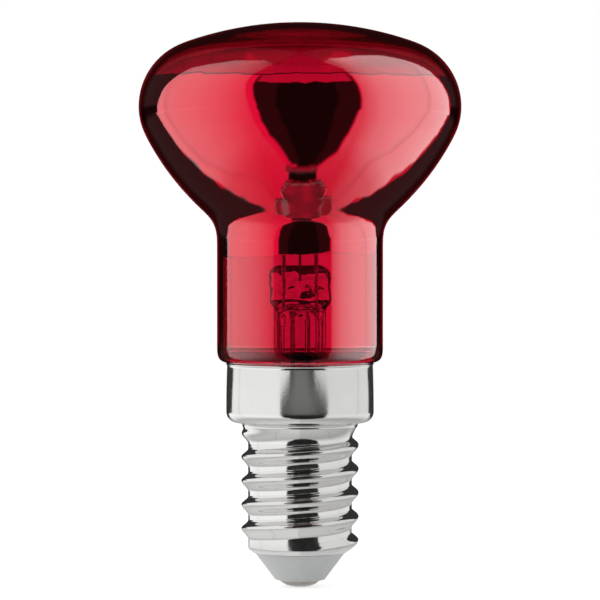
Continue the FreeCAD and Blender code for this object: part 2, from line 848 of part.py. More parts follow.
def make_side_solder(doc, s, side_lead):
    """Flat drop of solder on the skirt's rim, at the back, round the end of the side lead."""
    rise = (s.rim_gap - s.seat_gap) * 2 / 3
    drop = doc.addObject("Part::Ellipsoid", "solder_drop")
    drop.setExpression("Radius1", rise.text)
    drop.setExpression("Radius2", (s.solder_width / 2).text)
    drop.setExpression("Radius3", (s.solder_depth / 2).text)
    drop.setExpression("Placement.Base.x", (-s.lead_offset).text)
    drop.setExpression("Placement.Base.y", side_lead_reach(s)[1].text)
    drop.setExpression("Placement.Base.z", (s.skirt_height + rise / 2).text)
    skirt = doc.addObject("Part::Cylinder", "skirt_below")
    skirt.setExpression("Radius", (s.skirt_radius + s.solder_depth).text)
    skirt.setExpression("Height", s.skirt_height.text)
    clear = doc.addObject("Part::Cut", "solder_on_rim")
    clear.Base = drop
    clear.Tool = skirt
    solder = doc.addObject("Part::Cut", "side_solder")
    solder.Label = "side_solder"
    solder.Base = clear
    solder.Tool = side_lead
    return solder


def make_basing_cement(doc, s):
    """Ring of cement between glass seal and skirt, with a hole for the side lead."""
    inside = s.seal_radius + s.seat_gap
    outside = s.skirt_radius - s.sheet_wall - s.seat_gap
    top = s.seal_height + s.cement_height
    body = turned_piece(doc, "basing_cement", [
        (inside, s.seal_height),
        (outside, s.seal_height),
        (outside, top),
        (inside, top),
    ])
    hole = (-s.lead_offset, side_lead_reach(s)[0], s.outer_lead_radius + s.wire_gap)
    drilled(body, "lead_hole", top, [hole], s.cement_height)
    return body


def make_parts(doc, s):
    side_lead = make_side_lead(doc, s)
    return [
        make_glass_envelope(doc, s),
        make_stem_glass(doc, s),
        make_exhaust_tube(doc, s),
        make_seal_wire(doc, s, "seal_wire_left", -1),
        make_seal_wire(doc, s, "seal_wire_right", 1),
        make_inner_lead(doc, s, "inner_lead_left", -1),
        make_inner_lead(doc, s, "inner_lead_right", 1),
        side_lead,
        make_centre_lead(doc, s),
        make_filament(doc, s),
        make_filament_support(doc, s),
        make_cap_shell(doc, s),
        make_cap_insulator(doc, s),
        make_contact_plate(doc, s),
        make_contact_solder(doc, s),
        make_side_solder(doc, s, side_lead),
        make_basing_cement(doc, s),
    ]


def check(doc, parts):
    """Stop before anything is written if an object failed or a piece isn't one sound solid."""
    failed = [item.Label for item in doc.Objects if {"Invalid", "Error"} & set(item.State)]
    if failed:
        raise RuntimeError(f"failed objects: {failed}")
    for part in parts:
        shape = part.Shape
        if shape.isNull() or not shape.isValid() or len(shape.Solids) != 1:
            raise RuntimeError(f"{part.Label} isn't one sound solid")


def main():
    doc = FreeCAD.newDocument("HeatLamp")
    parts = make_parts(doc, make_sheet(doc))
    doc.recompute()
    check(doc, parts)
    os.makedirs("parts", exist_ok=True)
    for part in parts:
        part.Shape.exportStep(f"parts/{part.Label}.step")


main()
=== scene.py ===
import json
import math
from functools import partial

import bmesh
import bpy
from bpy.props import FloatProperty, FloatVectorProperty, IntProperty, PointerProperty
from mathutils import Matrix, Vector, noise

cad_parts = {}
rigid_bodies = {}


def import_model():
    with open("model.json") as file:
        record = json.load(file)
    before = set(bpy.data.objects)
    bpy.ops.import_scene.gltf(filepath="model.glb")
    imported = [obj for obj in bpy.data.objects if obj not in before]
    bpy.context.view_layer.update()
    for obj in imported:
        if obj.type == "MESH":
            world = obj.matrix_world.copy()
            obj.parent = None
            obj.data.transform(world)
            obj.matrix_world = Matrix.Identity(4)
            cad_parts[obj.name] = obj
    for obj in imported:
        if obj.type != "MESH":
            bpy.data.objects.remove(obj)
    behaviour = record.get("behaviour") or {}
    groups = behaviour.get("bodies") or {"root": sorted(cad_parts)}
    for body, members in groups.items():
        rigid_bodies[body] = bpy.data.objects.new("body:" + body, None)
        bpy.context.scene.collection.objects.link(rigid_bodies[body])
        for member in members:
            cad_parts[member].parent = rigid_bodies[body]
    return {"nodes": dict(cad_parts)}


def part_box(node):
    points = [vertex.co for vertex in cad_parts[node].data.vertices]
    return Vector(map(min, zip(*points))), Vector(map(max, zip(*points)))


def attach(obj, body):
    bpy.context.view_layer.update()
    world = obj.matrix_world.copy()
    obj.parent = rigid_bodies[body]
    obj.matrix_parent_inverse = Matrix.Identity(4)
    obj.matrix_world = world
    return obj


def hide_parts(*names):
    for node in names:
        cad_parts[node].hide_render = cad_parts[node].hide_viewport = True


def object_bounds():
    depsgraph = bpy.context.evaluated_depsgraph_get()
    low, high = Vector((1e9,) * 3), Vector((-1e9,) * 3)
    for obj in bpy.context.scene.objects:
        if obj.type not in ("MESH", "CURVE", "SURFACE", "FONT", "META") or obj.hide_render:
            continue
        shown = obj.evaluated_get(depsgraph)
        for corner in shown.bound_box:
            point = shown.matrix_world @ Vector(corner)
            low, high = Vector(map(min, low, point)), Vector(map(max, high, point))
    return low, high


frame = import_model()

bl_info = {
    "name": "Infrared Heat Lamp",
    "version": (1, 0, 0),
    "blender": (4, 5, 0),
    "location": "View3D > Sidebar > Heat Lamp",
    "description": "Dresses the solids of a red reflector heat lamp and sets its studio stage",
    "category": "Object",
}

# Lengths are metres. The origin is on the lamp's axis, where the cap's skirt steps in to its thread.
# Profiles are lists of (radius, height) points that are turned round that axis.

MM = 0.001
BODY = "root"
CAD_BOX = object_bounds()
GLASS_LOW, GLASS_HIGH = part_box("glass_envelope")
CAP_LOW, CAP_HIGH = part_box("cap_shell")
TIP_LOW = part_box("contact_solder")[0]
QUARTER = math.pi / 2
ON_AXIS = 1e-7


def length(label, description, millimetres):
    return FloatProperty(name=label, description=description, default=millimetres * MM, subtype="DISTANCE")


def framed(label, description, metres):
    return FloatProperty(name=label, description=description, default=metres, subtype="DISTANCE")


def share(label, description, value):
    return FloatProperty(name=label, description=description, default=value, min=0, max=1, subtype="FACTOR")


def level(label, description, value):
    return FloatProperty(name=label, description=description, default=value, min=0)


def levels(label, description, values):
    return FloatVectorProperty(name=label, description=description, default=values, size=len(values), min=0)


def colour(label, description, value):
    return FloatVectorProperty(
        name=label, description=description, default=value, size=3, min=0, max=1, subtype="COLOR"
    )


class GlassSizes(bpy.types.PropertyGroup):
    """Blown envelope: dome, bowl, neck and the lip that sits on the cap."""

    wall: length("Wall", "Thickness of the blown glass", 0.70)
    bowl_radius: framed("Bowl radius", "Widest radius of the bowl", GLASS_HIGH.x)
    bowl_height: length("Bowl height", "Height of the widest circle", 37.13)
    dome_radius: length("Dome radius", "Radius of the flat front dome", 40.50)
    brow_radius: length("Brow radius", "Bend from the dome to the widest circle", 8.00)
    hip_radius: length("Hip radius", "Bend below the widest circle", 7.30)
    flank_radius: length("Flank radius", "Long bend towards the throat", 31.70)
    throat_radius: length("Throat radius", "Hollow bend from flank to neck", 3.40)
    neck_radius: length("Neck radius", "Outer radius of the straight neck", 9.78)
    neck_top: length("Neck top", "Height where the neck starts to widen", 21.90)
    tuck_top: length("Tuck top", "Height where the neck starts to turn in", 7.60)
    tuck_radius: length("Tuck radius", "Bend of the neck's turned-in end", 2.20)
    lip_radius: length("Lip radius", "Outer bend of the lip above the rim", 0.40)
    lip_gap: length("Lip gap", "Gap between the lip and the cap's rim", 0.06)
    root_radius: length("Root radius", "Hollow bend from the lip to the seal", 0.25)
    ripple: length("Ripple", "Depth of the shallow waves in the blown wall", 0.035)
    wave: length("Wave", "Width of the shallow waves in the blown wall", 8.0)
    ripple_start: length("Ripple start", "Height above which the wall waves", 23.0)
    seal_radius: length("Seal radius", "Radius of the sealed end in the skirt", 7.90)
    row: length("Row", "Distance between two rows of the mesh", 0.40)
    segments: IntProperty(name="Segments", description="Columns round the axis", default=192, min=24)
    tint: colour("Tint", "Colour of light that has gone through the wall", (0.80, 0.050, 0.18))


class FilmSizes(bpy.types.PropertyGroup):
    """Mirror film on the inside of the bowl."""

    top: length("Top", "Height of the film's upper edge", 40.3)
    bottom: length("Bottom", "Height of the film's lower edge", 19.75)
    gap: length("Gap", "Distance from the glass to the film", 0.015)
    wall: length("Wall", "Thickness of the film's mesh", 0.02)
    wander: length("Wander", "How far the film's edges wander", 0.30)
    rows: IntProperty(name="Rows", description="Rows between the two edges", default=120, min=8)
    silver: colour("Silver", "Colour of the mirror", (0.93, 0.92, 0.91))


class StemSizes(bpy.types.PropertyGroup):
    """Flame-worked stem: flange, flare, tube and flat pinch."""

    flange_radius: length("Flange radius", "Radius of the flange that closes the neck", 7.85)
    flange_low: length("Flange low", "Height of the flange's underside", 2.32)
    flange_high: length("Flange high", "Height of the flange's upper face", 2.98)
    flare: length("Flare", "Hollow bend from the flange to the tube", 2.20)
    tube_radius: length("Tube radius", "Outer radius of the tube", 3.10)
    wall: length("Wall", "Thickness of the tube", 0.70)
    tube_top: length("Tube top", "Height where the tube is pressed flat", 13.25)
    pinch_low: length("Pinch low", "Height where the pinch is flat", 14.4)
    pinch_high: length("Pinch high", "Height of the pinch's end", 18.5)
    pinch_wide: length("Pinch wide", "Half the width of the pinch", 3.60)
    pinch_thick: length("Pinch thick", "Half the thickness of the pinch", 1.20)
    lump: length("Lump", "Depth of the lumps that the flame left", 0.38)
    grain: length("Grain", "Width of the lumps", 1.3)
    port_aside: length("Port aside", "Distance of the pump port from the axis", 0.9)
    port_height: length("Port height", "Height of the pump port", 15.5)
    port_radius: length("Port radius", "Radius of the dent at the pump port", 0.72)
    row: length("Row", "Distance between two rows of the mesh", 0.14)
    segments: IntProperty(name="Segments", description="Columns round the axis", default=128, min=24)


class CapSizes(bpy.types.PropertyGroup):
    """Screw cap sheet with its rolled thread."""

    wall: length("Wall", "Thickness of the sheet", 0.25)
    skirt_radius: framed("Skirt radius", "Radius of the plain skirt", CAP_HIGH.x)
    rim: framed("Rim", "Height of the skirt's rim", CAP_HIGH.z)
    barrel: length("Barrel", "How far the skirt's upper end stands in", 0.12)
    rim_bead: length("Rim bead", "Bend of the rim's rolled edge", 0.12)
    shoulder_bend: length("Shoulder bend", "Bend from the skirt to the shoulder", 1.25)
    collar_radius: length("Collar radius", "Radius at the collar's upper end", 6.80)
    collar_bend: length("Collar bend", "Hollow bend from the shoulder to the collar", 0.40)
    collar_depth: length("Collar depth", "Depth where the collar starts to draw in", 0.45)
    collar_taper: length("Collar taper", "Height in which the collar draws in to the thread", 1.75)
    crest_radius: length("Crest radius", "Radius at the thread's crest", 6.92)
    thread_height: length("Thread height", "Height of crest above root", 0.80)
    pitch: length("Pitch", "Advance of the thread in one turn", 2.822)
    upper_flank: share("Upper flank", "Share of the pitch that the steep flank above a crest takes", 0.34)
    lower_flank: share("Lower flank", "Share of the pitch that the long flank below a crest takes", 0.48)
    thread_start: length("Thread start", "Depth of the crest where it starts on the left", 1.24)
    foot: framed("Foot", "Height of the foot's end", CAP_LOW.z)
    foot_radius: length("Foot radius", "Radius of the foot's end", 5.50)
    foot_rise: length("Foot rise", "Height of the foot's cone at the crest's radius", 0.95)
    foot_opening: length("Foot opening", "Radius of the hole that the insulator fills", 4.90)
    row: length("Row", "Distance between two rows of the thread", 0.08)
    segments: IntProperty(name="Segments", description="Columns round the axis", default=160, min=24)
    nickel: colour("Nickel", "Colour of the bright sheet", (0.72, 0.715, 0.70))


class EndSizes(bpy.types.PropertyGroup):
    """Insulator, contact plate and solder drop at the cap's end."""

    drop_top: length("Drop top", "Height of the solder drop's upper face", -18.62)
    drop_radius: length("Drop radius", "Radius of the solder drop", 2.30)
    drop_lump: length("Drop lump", "Depth of the dents in the solder drop", 0.14)
    segments: IntProperty(name="Segments", description="Columns round the axis", default=64, min=12)
    glaze: colour("Glaze", "Colour of the fused glass", (0.74, 0.75, 0.75))
    solder: colour("Solder", "Colour of the solder", (0.30, 0.30, 0.29))
    brass: colour("Brass", "Colour of the contact plate", (0.72, 0.62, 0.40))


class InnerColours(bpy.types.PropertyGroup):
    """Wires of the bulb and the cement in the cap."""

    lead: colour("Lead", "Colour of the leads and seal wires", (0.62, 0.58, 0.54))
    tungsten: colour("Tungsten", "Colour of the filament and its support", (0.30, 0.30, 0.32))
    cement: colour("Cement", "Colour of the basing cement", (0.80, 0.76, 0.68))
    cement_shade: colour("Cement shade", "Colour of the cement's darker grains", (0.62, 0.57, 0.48))


class StageSizes(bpy.types.PropertyGroup):
    """Camera, soft panels, dark cards and floor."""

    distance: length("Distance", "Camera to the lamp's axis", 400)
    eye: length("Eye", "Height of the camera", 25.0)
    aim: length("Aim", "Height that the camera looks at", 14.4)
    lens: length("Lens", "Focal length on a 36 mm sensor", 203.7)
    reach: length("Reach", "Radius of the dome of cards", 600)
    floor_radius: length("Floor radius", "Radius of the pale floor", 4000)
    floor_tone: share("Floor tone", "Brightness of the floor's colour", 0.80)
    floor_lift: levels("Floor lift", "Light that whitens the floor near the lamp and far off", (0.64, 0.78))
    lift_start: length("Lift start", "Distance where the whitening starts to change", 500)
    lift_end: length("Lift end", "Distance where the whitening has changed", 1000)
    core_tone: levels(
        "Core tone", "Brightness straight ahead for sheen, metal and glow", (0.010, 0.02, 0.015)
    )
    side_tone: levels(
        "Side tone", "Brightness beside the core for sheen, metal and glow", (0.018, 0.04, 0.045)
    )
    back_tone: levels(
        "Back tone", "Brightness behind the panels for sheen, metal and glow", (0.045, 0.04, 0.06)
    )
    shine: levels("Shine", "Brightness of the left and right panel in polished metal", (1.1, 0.9))
    glow: levels("Glow", "Brightness of the left and right panel behind the glass", (1.5, 1.34))
    lamps: levels("Lamps", "Brightness of the left and right panel on matt faces", (1.38, 0.92))
    fill: level("Fill", "Brightness of the room for matt surfaces", 0.35)


class LampSettings(bpy.types.PropertyGroup):
    """Everything a user can set on the lamp."""

    glass: PointerProperty(name="Glass", type=GlassSizes)
    film: PointerProperty(name="Film", type=FilmSizes)
    stem: PointerProperty(name="Stem", type=StemSizes)
    cap: PointerProperty(name="Cap", type=CapSizes)
    end: PointerProperty(name="End", type=EndSizes)
    inner: PointerProperty(name="Inner", type=InnerColours)
    stage: PointerProperty(name="Stage", type=StageSizes)


# Numbers and profiles

def spaced(start, end, count):
    """count + 1 numbers from start to end."""
    return [start + (end - start) * i / count for i in range(count + 1)]


def eased(value, start, end):
    """0 before start, 1 after end and a soft step between."""
    part = min(1, max(0, (value - start) / (end - start)))
    return part * part * (3 - 2 * part)


def within(value, start, full, fading, end):
    """1 from full to fading, 0 before start and after end, and a soft step between."""
    return eased(value, start, full) * (1 - eased(value, fading, end))


def mixed(low, high, part):
    return low + (high - low) * part


def between(line, value):
    """The height of a line of points at a value; its ends are held."""
    if value <= line[0][0]:
        return line[0][1]
    for (a, low), (b, high) in zip(line, line[1:]):
        if value <= b:
            return mixed(low, high, (value - a) / (b - a))
    return line[-1][1]


def wavy(x, y, z):
    """Smooth noise between -1 and 1. Callers scale a place by a pace, and a seed keeps patterns apart."""
    return noise.noise(Vector((x, y, z)))


def ragged(spot, sizes):
    """Noise of several sizes, each a pair of strength and fineness."""
    return sum(strength * noise.noise(fineness * spot) for strength, fineness in sizes)


def arc(centre, radius, start, end, step=0.02):
    """Points along an arc, at about step radians."""
    count = max(2, math.ceil(abs(end - start) / step))
    return [
        (centre[0] + radius * math.cos(angle), centre[1] + radius * math.sin(angle))
        for angle in spaced(start, end, count)
    ]


def heading(start, end):
    """The angle from one point of a profile to another."""
    return math.atan2(end[1] - start[1], end[0] - start[0])


def inner_meeting(first, first_radius, second, second_radius):
    """Where two circles meet, on the side nearer the axis."""
    apart = math.dist(first, second)
    forward = (first_radius ** 2 - second_radius ** 2 + apart ** 2) / (2 * apart)
    aside = math.sqrt(first_radius ** 2 - forward ** 2)
    ahead = ((second[0] - first[0]) / apart, (second[1] - first[1]) / apart)
    middle = (first[0] + ahead[0] * forward, first[1] + ahead[1] * forward)
    return min(
        (middle[0] + way * ahead[1] * aside, middle[1] - way * ahead[0] * aside) for way in (1, -1)
    )


def evenly(points, step):
    """The same line with points at about every step along it."""
    lengths = [math.dist(a, b) for a, b in zip(points, points[1:])]
    total = sum(lengths)
    count = max(2, round(total / step))
    found = []
    index = 0
    passed = 0
    for target in spaced(0, total, count):
        while index < len(lengths) - 1 and passed + lengths[index] < target:
            passed += lengths[index]
            index += 1
        part = min(1, (target - passed) / lengths[index]) if lengths[index] else 0
        a, b = points[index], points[index + 1]
        found.append((a[0] + (b[0] - a[0]) * part, a[1] + (b[1] - a[1]) * part))
    return found


def relaxed(points, rounds):
    """The line with its bends run into each other; the ends stay."""
    for _ in range(rounds):
        middle = [
            ((a[0] + 2 * b[0] + c[0]) / 4, (a[1] + 2 * b[1] + c[1]) / 4)
            for a, b, c in zip(points, points[1:], points[2:])
        ]
        points = [points[0], *middle, points[-1]]
    return points


def along(points, place):
    """The point at a place between 0 and the last index of an even line, on a smooth curve through it."""
    index = min(max(int(place), 1), len(points) - 3)
    part = place - index
    a, b, c, d = points[index - 1:index + 3]
    return tuple(
        0.5 * (
            2 * b[i]
            + (c[i] - a[i]) * part
            + (2 * a[i] - 5 * b[i] + 4 * c[i] - d[i]) * part ** 2
            + (3 * b[i] - a[i] - 3 * c[i] + d[i]) * part ** 3
        )
        for i in (0, 1)
    )


def place_at(points, height):
    """The place along a falling line where it passes a height."""
    for index, (a, b) in enumerate(zip(points, points[1:])):
        if a[1] >= height > b[1]:
            return index + (a[1] - height) / (a[1] - b[1])
    raise ValueError(f"no point of the line is at height {height}")


def glass_face(glass, inset, row):
    """One face of the glass from dome to seal, moved inwards by inset."""
    brow_at = (glass.bowl_radius - glass.brow_radius, glass.bowl_height)
    hip_at = (glass.bowl_radius - glass.hip_radius, glass.bowl_height)
    throat_at = (glass.neck_radius + glass.throat_radius, glass.neck_top)
    dome_drop = math.sqrt((glass.dome_radius - glass.brow_radius) ** 2 - brow_at[0] ** 2)
    dome_at = (0, brow_at[1] - dome_drop)
    flank_at = inner_meeting(
        hip_at, glass.flank_radius - glass.hip_radius, throat_at, glass.flank_radius + glass.throat_radius
    )
    tuck_at = (glass.neck_radius - glass.tuck_radius, glass.tuck_top)
    lip_height = CAP_HIGH.z + glass.lip_gap
    lip_arm = glass.tuck_radius - glass.lip_radius
    lip_drop = glass.tuck_top - lip_height - glass.lip_radius
    tuck_turn = math.asin(lip_drop / lip_arm)
    lip_at = (tuck_at[0] + lip_arm * math.cos(tuck_turn), tuck_at[1] - lip_drop)
    root_at = (glass.seal_radius + glass.root_radius, lip_height - glass.root_radius)
    brow_turn = heading(dome_at, brow_at)
    hip_turn = heading(flank_at, hip_at)
    throat_turn = heading(flank_at, throat_at)
    bowl = [
        *arc(dome_at, glass.dome_radius - inset, QUARTER, brow_turn),
        *arc(brow_at, glass.brow_radius - inset, brow_turn, 0),
        *arc(hip_at, glass.hip_radius - inset, 0, hip_turn),
        *arc(flank_at, glass.flank_radius - inset, hip_turn, throat_turn),
        *arc(throat_at, glass.throat_radius + inset, throat_turn + math.pi, math.pi),
    ]
    if inset:
        lip = [(glass.seal_radius - inset, lip_height)]
    else:
        lip = [
            *arc(lip_at, glass.lip_radius, -tuck_turn, -QUARTER),
            *arc(root_at, glass.root_radius, QUARTER, math.pi),
        ]
    tuck = arc(tuck_at, glass.tuck_radius - inset, 0, -tuck_turn)
    points = bowl + tuck + lip + [(glass.seal_radius - inset, GLASS_LOW.z)]
    return relaxed(evenly(points, row), rounds=6)


RIPPLE_SEED = Vector((4.2, 1.7, 0.6))


def blown_point(glass, radius, height, angle):
    """A point of the turned wall, moved in by the shallow waves of blown glass."""
    heart = Vector((0, 0, glass.bowl_height - glass.brow_radius / 2))
    point = Vector((radius * math.cos(angle), radius * math.sin(angle), height))
    arm = point - heart
    wave = noise.noise(arm.normalized() * (glass.bowl_radius / glass.wave) + RIPPLE_SEED)
    depth = glass.ripple * (1 + wave) / 2 * eased(height, glass.ripple_start, glass.bowl_height)
    return heart + arm * (1 - depth / glass.bowl_radius)


# Meshes

def new_piece(name, mesh_maker, nodes=()):
    """A mesh object that rides on the lamp, made by a function that fills a bmesh."""
    mesh = bpy.data.meshes.new(name)
    maker = bmesh.new()
    mesh_maker(maker)
    bmesh.ops.recalc_face_normals(maker, faces=maker.faces)
    maker.to_mesh(mesh)
    maker.free()
    mesh.shade_smooth()
    piece = bpy.data.objects.new(name, mesh)
    bpy.context.scene.collection.objects.link(piece)
    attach(piece, BODY)
    if nodes:
        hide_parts(*nodes)
    return piece


def add_rings(maker, rings, closed=False):
    """Skins a list of rings, each a list of points or one pole point."""
    made = [[maker.verts.new(point) for point in ring] for ring in rings]
    pairs = list(zip(made, made[1:]))
    if closed:
        pairs.append((made[-1], made[0]))
    for upper, lower in pairs:
        count = max(len(upper), len(lower))
        for i in range(count):
            j = (i + 1) % count
            corners = (
                upper[i % len(upper)],
                upper[j % len(upper)],
                lower[j % len(lower)],
                lower[i % len(lower)],
            )
            maker.faces.new(list(dict.fromkeys(corners)))


def ring(radius, height, segments):
    """A level circle of points, or its one point on the axis."""
    if radius < ON_AXIS:
        return [(0, 0, height)]
    return [
        (radius * math.cos(math.tau * i / segments), radius * math.sin(math.tau * i / segments), height)
        for i in range(segments)
    ]


def blown_ring(glass, radius, height):
    """A circle of the blown wall, or its one point on the axis."""
    if radius < ON_AXIS:
        return [blown_point(glass, 0, height, 0)]
    return [
        blown_point(glass, radius, height, math.tau * i / glass.segments) for i in range(glass.segments)
    ]


# Finishes

class Finish:
    """A material whose node tree is built step by step round one Principled shader."""

    def __init__(self, name):
        self.material = bpy.data.materials.new(name)
        self.material.use_nodes = True
        self.nodes = self.material.node_tree.nodes
        self.links = self.material.node_tree.links
        self.shader = self.nodes["Principled BSDF"]
        self.output = self.nodes["Material Output"]
        self.position = self.nodes.new("ShaderNodeTexCoord").outputs["Object"]

    def set(self, **values):
        """Sets constant sockets, named in lower case with underscores."""
        sockets = {socket.name.lower().replace(" ", "_"): socket for socket in self.shader.inputs}
        for name, value in values.items():
            sockets[name].default_value = (*value, 1) if name == "base_color" else value

    def node(self, kind, inputs=(), **settings):
        made = self.nodes.new(kind)
        for name, value in settings.items():
            setattr(made, name, value)
        for key, value in dict(inputs).items():
            if isinstance(value, bpy.types.NodeSocket):
                self.links.new(value, made.inputs[key])
            else:
                made.inputs[key].default_value = value
        return made

    def noise(self, grain, detail=3):
        """Noise between 0 and 1 with grains of about that size in metres."""
        return self.node(
            "ShaderNodeTexNoise", {"Vector": self.position, "Scale": 1 / grain, "Detail": detail}
        ).outputs["Fac"]

    def span(self, value, low, high, start=0.3, end=0.7):
        """The value spread between two numbers."""
        return self.node(
            "ShaderNodeMapRange",
            {"Value": value, "From Min": start, "From Max": end, "To Min": low, "To Max": high},
        ).outputs["Result"]

    def blend(self, value, first, second):
        """A colour between two."""
        mixer = self.node("ShaderNodeMix", {"Factor": value}, data_type="RGBA")
        first_socket, second_socket = [socket for socket in mixer.inputs if socket.type == "RGBA"]
        first_socket.default_value = (*first, 1)
        second_socket.default_value = (*second, 1)
        return next(socket for socket in mixer.outputs if socket.type == "RGBA")

    def drive(self, socket, value):
        self.links.new(value, self.shader.inputs[socket])

    def bump(self, value, height, strength=1.0):
        made = self.node("ShaderNodeBump", {"Height": value, "Distance": height, "Strength": strength})
        self.links.new(made.outputs["Normal"], self.shader.inputs["Normal"])

    def absorb(self, tint, depth):
        """Colours light by its way inside the solid: the tint is reached at that depth."""
        losses = [-math.log(part) / depth for part in tint]
        most = max(losses)
        volume = self.node("ShaderNodeVolumeAbsorption", {"Density": most})
        volume.inputs["Color"].default_value = (*(1 - loss / most for loss in losses), 1)
        self.links.new(volume.outputs["Volume"], self.output.inputs["Volume"])

    def put_on(self, *objects):
        for thing in objects:
            thing.data.materials.clear()
            thing.data.materials.append(self.material)


def shaded(tone, factor):
    return tuple(min(1, part * factor) for part in tone)


def red_glass(glass):
    """Clear at the face, and red by the way that light goes through the wall."""
    finish = Finish("red_glass")
    finish.set(base_color=(1, 1, 1), roughness=0.0, ior=1.9, transmission_weight=1.0)
    finish.absorb(glass.tint, glass.wall)
    finish.bump(finish.noise(grain=6 * MM, detail=1), height=0.02 * MM, strength=0.15)
    return finish


def clear_glass():
    """Flame-worked glass, uneven where the flame was."""
    finish = Finish("clear_glass")
    finish.set(base_color=(0.99, 0.99, 0.985), ior=1.28, transmission_weight=1.0)
    finish.drive("Roughness", finish.span(finish.noise(grain=1.2 * MM), low=0.0, high=0.06))
    finish.bump(finish.noise(grain=1.6 * MM, detail=1), height=0.05 * MM, strength=0.4)
    return finish


def mirror_film(film):
    """Evaporated mirror with faint clouds."""
    finish = Finish("mirror_film")
    finish.set(metallic=1.0)
    cloud = finish.noise(grain=5 * MM, detail=4)
    finish.drive("Base Color", finish.blend(cloud, shaded(film.silver, 0.96), film.silver))
    finish.drive("Roughness", finish.span(cloud, low=0.015, high=0.05))
    finish.bump(finish.noise(grain=3 * MM, detail=2), height=0.01 * MM, strength=0.2)
    return finish


def nickel_sheet(cap):
    """Bright sheet, with more grain on the skirt than on the thread."""
    finish = Finish("nickel_sheet")
    finish.set(metallic=1.0)
    grain = finish.noise(grain=0.15 * MM, detail=2)
    cloud = finish.noise(grain=2.5 * MM, detail=4)
    finish.drive("Base Color", finish.blend(cloud, shaded(cap.nickel, 0.94), cap.nickel))
    height = finish.node("ShaderNodeSeparateXYZ", {0: finish.position}).outputs["Z"]
    shoulder = {"start": -1.0 * MM, "end": 0.5 * MM}
    dullness = finish.span(height, low=0.09, high=0.11, **shoulder)
    spread = finish.span(grain, low=-0.04, high=0.04)
    roughness = finish.node("ShaderNodeMath", {0: dullness, 1: spread}, operation="ADD")
    finish.drive("Roughness", roughness.outputs[0])
    finish.bump(grain, height=0.005 * MM, strength=finish.span(height, low=0.15, high=0.7, **shoulder))
    return finish


def fused_glass(end):
    """Pale opaque glass with a satin face."""
    finish = Finish("insulator_glass")
    cloud = finish.noise(grain=0.8 * MM, detail=4)
    finish.set(specular_ior_level=0.5)
    finish.drive("Base Color", finish.blend(cloud, shaded(end.glaze, 0.93), shaded(end.glaze, 1.05)))
    finish.drive("Roughness", finish.span(cloud, low=0.32, high=0.5))
    finish.bump(finish.noise(grain=0.5 * MM, detail=3), height=0.01 * MM, strength=0.4)
    return finish


def solder_metal(end):
    """Satin solder with dull patches."""
    finish = Finish("solder")
    finish.set(metallic=1.0)
    cloud = finish.noise(grain=0.5 * MM, detail=4)
    finish.drive("Base Color", finish.blend(cloud, shaded(end.solder, 0.8), shaded(end.solder, 1.1)))
    finish.drive("Roughness", finish.span(cloud, low=0.22, high=0.42))
    finish.bump(finish.noise(grain=0.35 * MM, detail=3), height=0.02 * MM, strength=0.5)
    return finish


def drawn_metal(name, tone, roughness):
    """Drawn or stamped metal with a dull patina."""
    finish = Finish(name)
    finish.set(metallic=1.0)
    cloud = finish.noise(grain=0.6 * MM, detail=3)
    finish.drive("Base Color", finish.blend(cloud, shaded(tone, 0.75), tone))
    finish.drive("Roughness", finish.span(cloud, low=roughness - 0.08, high=roughness + 0.12))
    return finish


def matt_cement(inner):
    """Gritty cement."""
    finish = Finish("cement")
    cloud = finish.noise(grain=0.4 * MM, detail=5)
    finish.drive("Base Color", finish.blend(cloud, inner.cement_shade, inner.cement))
    finish.drive("Roughness", finish.span(cloud, low=0.8, high=0.98))
    finish.bump(cloud, height=0.05 * MM, strength=0.6)
    return finish


# Lamp pieces

# How the film's edges wander: pace round the axis and seed. The tilt is the rows by which the lower edge
# rises to the right.
UPPER_EDGE = (4.0, 1.5)
LOWER_EDGE = (1.2, 7.5)
LOWER_TILT = 0.6
EDGE_NOISE = ((1, 1), (0.5, 3.7), (0.25, 11))


def fill_film(glass, film):
    """A function that fills a bmesh with the film, whose edges wander a little."""
    face = glass_face(glass, glass.wall + film.gap, glass.row)
    back = glass_face(glass, glass.wall + film.gap + film.wall, glass.row)
    top = place_at(face, film.top)
    bottom = place_at(face, film.bottom)

    def wander(angle, edge):
        pace, seed = edge
        spot = Vector((math.cos(angle) * pace, math.sin(angle) * pace, seed))
        return film.wander / glass.row * ragged(spot, EDGE_NOISE)

    def fill(maker):
        rings = []
        for line, order in ((face, 1), (back, -1)):
            for step in spaced(0, 1, film.rows)[::order]:
                points = []
                for i in range(glass.segments):
                    angle = math.tau * i / glass.segments
                    upper = top + wander(angle, UPPER_EDGE)
                    lower = bottom + wander(angle, LOWER_EDGE) - LOWER_TILT * math.cos(angle)
                    r, z = along(line, mixed(upper, lower, step))
                    points.append(blown_point(glass, r, z, angle))
                rings.append(points)
        add_rings(maker, rings, closed=True)
    return fill


def squarish(half_wide, half_thick, power, angle):
    """A point on an oval that turns boxy as its power falls below 1."""
    across, deep = math.cos(angle), math.sin(angle)
    return (
        math.copysign(half_wide * abs(across) ** power, across),
        math.copysign(half_thick * abs(deep) ** power, deep),
    )


# The pinch's oval turns boxy, and its last row keeps a little width. Lumps push its faces more than its
# sides.
PINCH_BOXY = 0.62
LEAST_END = 0.0004
FLAME_NOISE = ((1, 1), (0.5, 2.3))
SIDE_LUMP = 0.5
# The pump port's dent and raised lip: heights in lumps, place and width in port radii.
PORT_DENT = 1.3
PORT_LIP = 0.6
PORT_LIP_AT = 1.3
PORT_LIP_WIDE = 0.35


